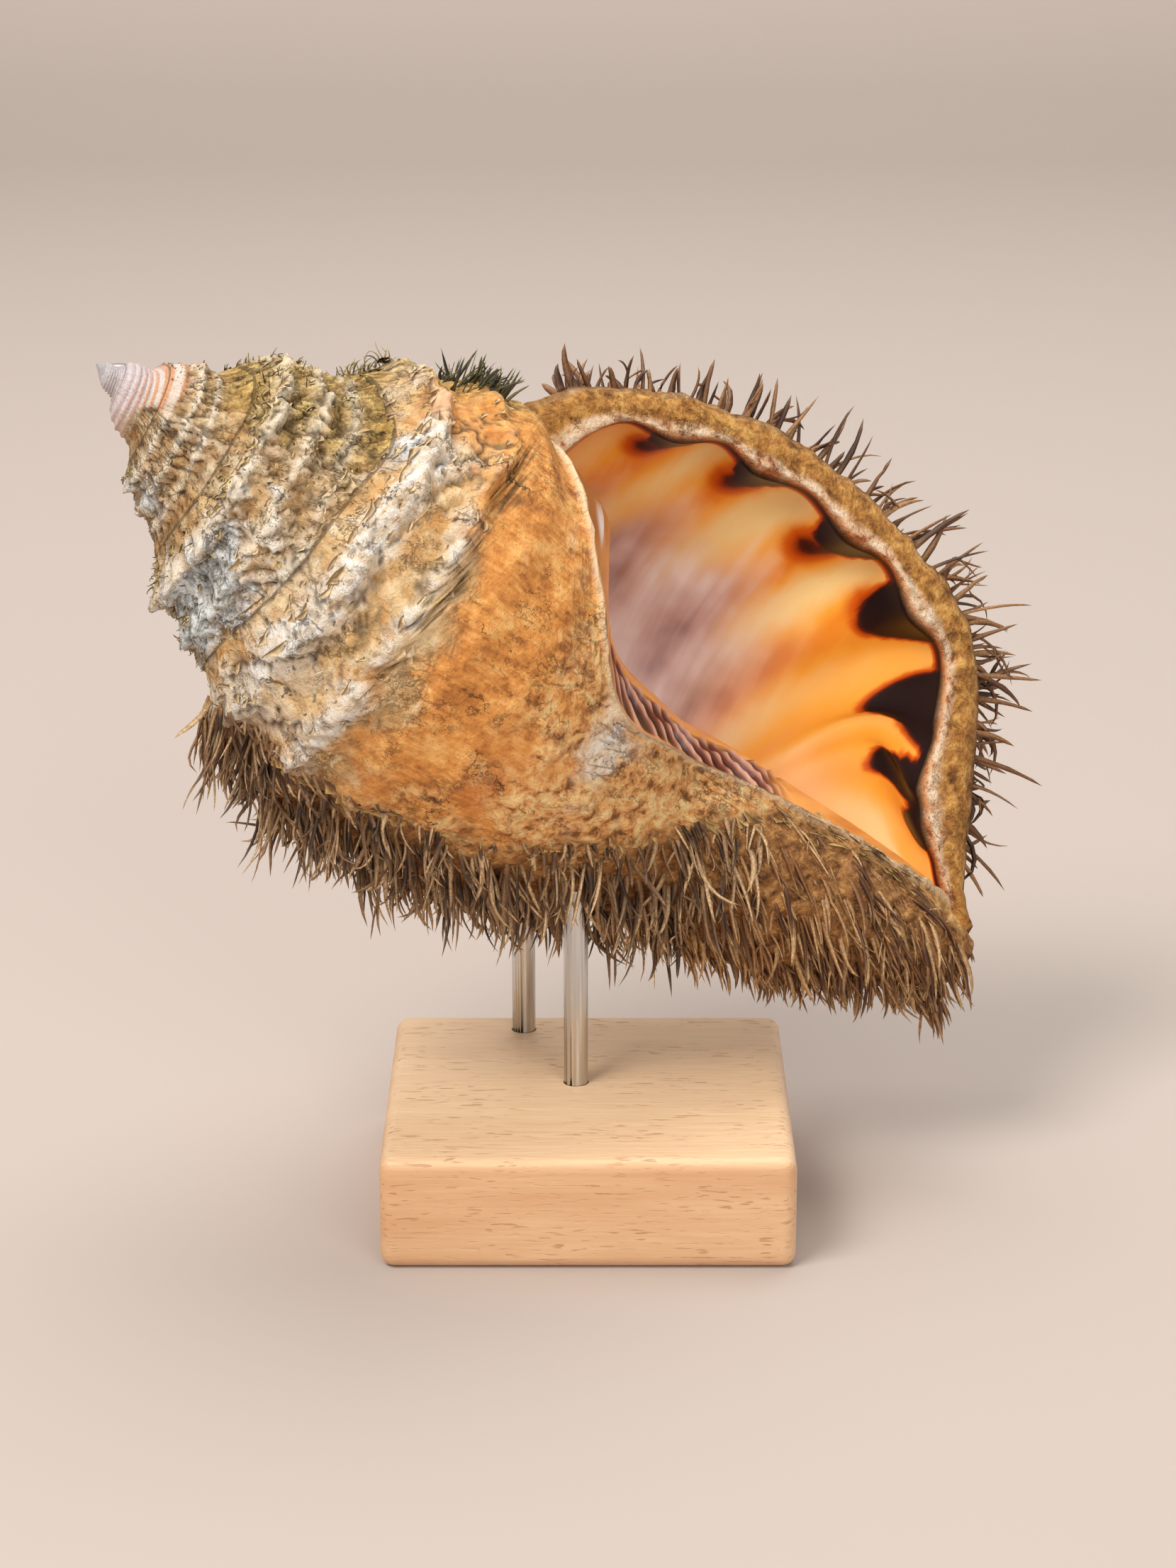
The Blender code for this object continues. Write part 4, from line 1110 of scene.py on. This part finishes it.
def flake_finish(name, deep, middle, edge):
    """Dried skin, dark where it is rooted and bleached along its torn edge."""
    f = Finish(name)
    mottle = f.grain(1.2, 5, 0.6)
    skin = f.mix(f.spread(f.mark("along"), 0.0, 0.9), deep, middle)
    bleached = f.times(f.spread(f.sum(f.mark("along"), f.times(f.mark("shade"), 0.5)), 0.7, 1.2), 0.85)
    skin = f.mix(bleached, skin, edge)
    skin = f.mix(f.spread(mottle, 0.42, 0.62, 0.5, 0), skin, deep)
    return f.finish(skin, 0.85, f.bump(mottle, 0.25))


def scatter_flakes(name, g, h, finish, across=(0.75, 1.0), lengths=(1.6, 4.0), rises=(0.4, 1.2),
                   lean=(0.5, 2.0)):
    """Flakes at these places, smaller towards the tip of the spire."""
    count, size = len(g), np.clip(suture_height(g) / 24, 0.25, 1.1)
    piece = flake_mesh(name, g, h, draw.uniform(*across, count), draw.uniform(*lengths, count) * size,
                       draw.uniform(*rises, count) * size, draw.uniform(*lean, count))
    piece.data.materials.append(finish)
    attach(piece, "root")


def on_spire(count, first, last_turn, downs, spread):
    """Random places on the spire's turns, near these shares of the way down the whorl."""
    g = last_turn + (first - last_turn) * draw.random(count) ** 1.6
    t = draw.choice(downs, count) + spread * draw.normal(size=count)
    top, base = suture_height(g), base_height(g)
    h = top + np.clip(t, 0.004, 0.98) * (base - top)
    below = suture_height(g + 1)
    covered = (g < -1) & (h > below)
    return g[~covered], h[~covered]


cord_skin = flake_finish("cord_skin", (104, 78, 48), (186, 148, 98), (232, 206, 164))
hem_skin = flake_finish("hem_skin", (88, 62, 34), (170, 128, 72), (212, 172, 108))
moss_skin = flake_finish("moss_skin", (62, 52, 24), (156, 132, 62), (222, 196, 122))
g, h = on_spire(750, -3.3, -1.0, (0.03, 0.07, 0.2, 0.23, 0.36), 0.022)
scatter_flakes("cord_flakes", g, h, cord_skin)
g, h = on_spire(700, -3.4, -0.98, (0.005, 0.02, 0.13, 0.30), 0.03)
scatter_flakes("seam_flakes", g, h, moss_skin, lengths=(1.0, 3.0))
g = draw.uniform(-0.97, -0.46, 260)
t = draw.choice((0.01, 0.05, 0.10, 0.2, 0.24), 260, p=(0.3, 0.25, 0.2, 0.15, 0.1))
h = suture_height(g) + t * (base_height(g) - suture_height(g)) + draw.normal(size=260)
scatter_flakes("shoulder_flakes", g, h, cord_skin, rises=(0.35, 0.9), lean=(0.8, 2.2))
h = draw.uniform(40, 124, 420)
g = through(HAIR_LINE, h) + draw.normal(size=420) * 0.008 - 0.008
scatter_flakes("hem_flakes", g, h, hem_skin, across=(0.0, 0.4), lengths=(2.0, 5.0), rises=(0.4, 1.1))

# ---------------------------------------------------------------- spire fuzz
# Short wiry growth on the spire, longest where it faces up, and a dark green
# tuft of weed where the lip meets the seam.
fuzz = bristle_finish("spire_fuzz", (120, 100, 52), (66, 56, 30), (140, 116, 62),
                      (206, 182, 116))
g, h = on_spire(2600, -3.7, -1.0, (0.01, 0.06, 0.12, 0.21, 0.3, 0.38), 0.03)
shaggy = 1 + 0.9 * smooth(0.3, 0.8, outwards(g)[..., 2])
add_bristles("spire_fuzz", g, h, shaggy * np.clip(suture_height(g) / 14, 0.5, 1.8), width=0.22,
             lean=(1.0, 0.1, 0.0), droop=0.2, curl=1.6, clumps=260, strength=0.35, finish=fuzz)

seaweed = bristle_finish("seaweed", (86, 74, 30), (34, 32, 18), (66, 62, 28), (128, 112, 58))
g, h = draw.uniform(-0.985, -0.93, 80), draw.uniform(35, 42.5, 80)
add_bristles("green_tuft", g, h, 5.0, width=0.5, lean=(1.0, 0.1, 0.3), droop=0.1, curl=0.7, clumps=24,
             strength=0.5, finish=seaweed, flat=(0.3, 0.6))

# ---------------------------------------------------------------- pins
# Two brushed steel pins hold the shell up. Each stands in a hole drilled in
# the block, and its top is cut to the slope of the shell that it is glued to.
PIN_NAMES = ("pin_front", "pin_rear")
MERGE_DISTANCE, ROUND_ANGLE = 0.01 * MM, math.radians(30)


def steel_finish():
    """Steel brushed round the pin, with faint lighter and darker streaks down it that are painted
    reflections.
    """
    f = Finish("brushed_steel")
    brushed, streaks = f.grain(0.25, 4, 0.6, 0, (0.3, 0.3, 3)), f.grain(0.9, 3, 0.5, 0, (1.5, 1.5, 0.03))
    # The streaks down the pin are painted reflections.
    base = f.mix(f.spread(streaks, 0.35, 0.65), (0.52, 0.505, 0.49, 1), (0.70, 0.685, 0.66, 1))
    return f.finish(base, f.spread(brushed, 0.3, 0.7, 0.16, 0.26), f.bump(brushed, 0.002), Metallic=1.0)


steel = steel_finish()
for pin_name in PIN_NAMES:
    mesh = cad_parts[pin_name].data.copy()
    pin = bpy.data.objects.new(pin_name.replace("pin", "steel_pin"), mesh)
    bpy.context.scene.collection.objects.link(pin)
    edit_whole(pin, bpy.ops.mesh.remove_doubles, threshold=MERGE_DISTANCE)
    bpy.ops.object.shade_smooth_by_angle(angle=ROUND_ANGLE)
    mesh.materials.clear()
    mesh.materials.append(steel)
    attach(pin, "root")
    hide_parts(pin_name)

# ---------------------------------------------------------------- block
# A square of pale oiled beech with softly rounded edges and two drilled holes.
# Its grain runs from side to side, with the short brown flecks of the wood's rays.
EDGE_ROUND, EDGE_STEPS, EDGE_ANGLE = 1.7 * MM, 6, math.radians(40)
HOLE_RADIUS, HOLE_DEPTH, HOLE_SIDES = 1.6 * MM, 10 * MM, 48


def beech_finish():
    """Oiled beech: soft bands along the grain and short darker flecks."""
    f = Finish("beech")
    bands = f.grain(7, 4, 0.5, 0.2, (0.12, 1, 1))
    fibres = f.grain(0.5, 5, 0.6, 0, (0.05, 1, 1))
    flecks = f.spread(f.grain(0.5, 2, 0.4, 0.1, (0.2, 0.9, 1.4)), 0.585, 0.66)
    few = f.spread(f.grain(5, 2, 0.5, 0, (0.5, 1, 1)), 0.42, 0.6)
    wood = f.ramp(bands, (0.3, (208, 154, 108)), (0.5, (220, 171, 126)), (0.7, (230, 187, 143)))
    # The top is painted paler than the sides: painted light falling from above.
    upwards = f.node("SeparateXYZ", Vector=f.on_object).outputs["Z"]
    top_light = f.spread(upwards, block_high[2] - 1.2 * MM, block_high[2] - 0.1 * MM)
    wood = f.mix(f.times(top_light, 0.6), wood, (255, 222, 178))
    wood = f.mix(f.spread(fibres, 0.35, 0.65, 0.28, 0), wood, (206, 150, 104))
    wood = f.mix(f.times(f.times(flecks, few), 0.6), wood, (178, 120, 72))
    height = f.sum(f.times(fibres, 0.5), f.times(flecks, -0.5))
    return f.finish(wood, f.spread(fibres, 0.3, 0.7, 0.40, 0.50), f.bump(height, 0.06), Sheen_Weight=0.25,
                    Sheen_Roughness=0.4, Sheen_Tint=(1, 0.93, 0.85, 1))


bpy.ops.object.select_all(action="DESELECT")
centre = (Vector(block_low) + Vector(block_high)) / 2
bpy.ops.mesh.primitive_cube_add(size=1, location=centre, scale=Vector(block_high) - Vector(block_low))
block = bpy.context.object
block.name = "beech_block"
bpy.ops.object.transform_apply(location=True, rotation=True, scale=True)
rounding = block.modifiers.new("rounded_edges", "BEVEL")
rounding.width = EDGE_ROUND
rounding.segments = EDGE_STEPS
bpy.ops.object.modifier_apply(modifier=rounding.name)
for pin_name in PIN_NAMES:
    low, high = map(Vector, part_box(pin_name))
    bpy.ops.mesh.primitive_cylinder_add(
        vertices=HOLE_SIDES, radius=HOLE_RADIUS, depth=2 * HOLE_DEPTH,
        location=((low.x + high.x) / 2, (low.y + high.y) / 2, block_high[2]))
    drill = bpy.context.object
    take(block)
    hole = block.modifiers.new("hole", "BOOLEAN")
    hole.operation = "DIFFERENCE"
    hole.object = drill
    bpy.ops.object.modifier_apply(modifier=hole.name)
    bpy.data.objects.remove(drill)
take(block)
bpy.ops.object.shade_smooth_by_angle(angle=EDGE_ANGLE)
block.data.materials.append(beech_finish())
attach(block, "root")
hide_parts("block")
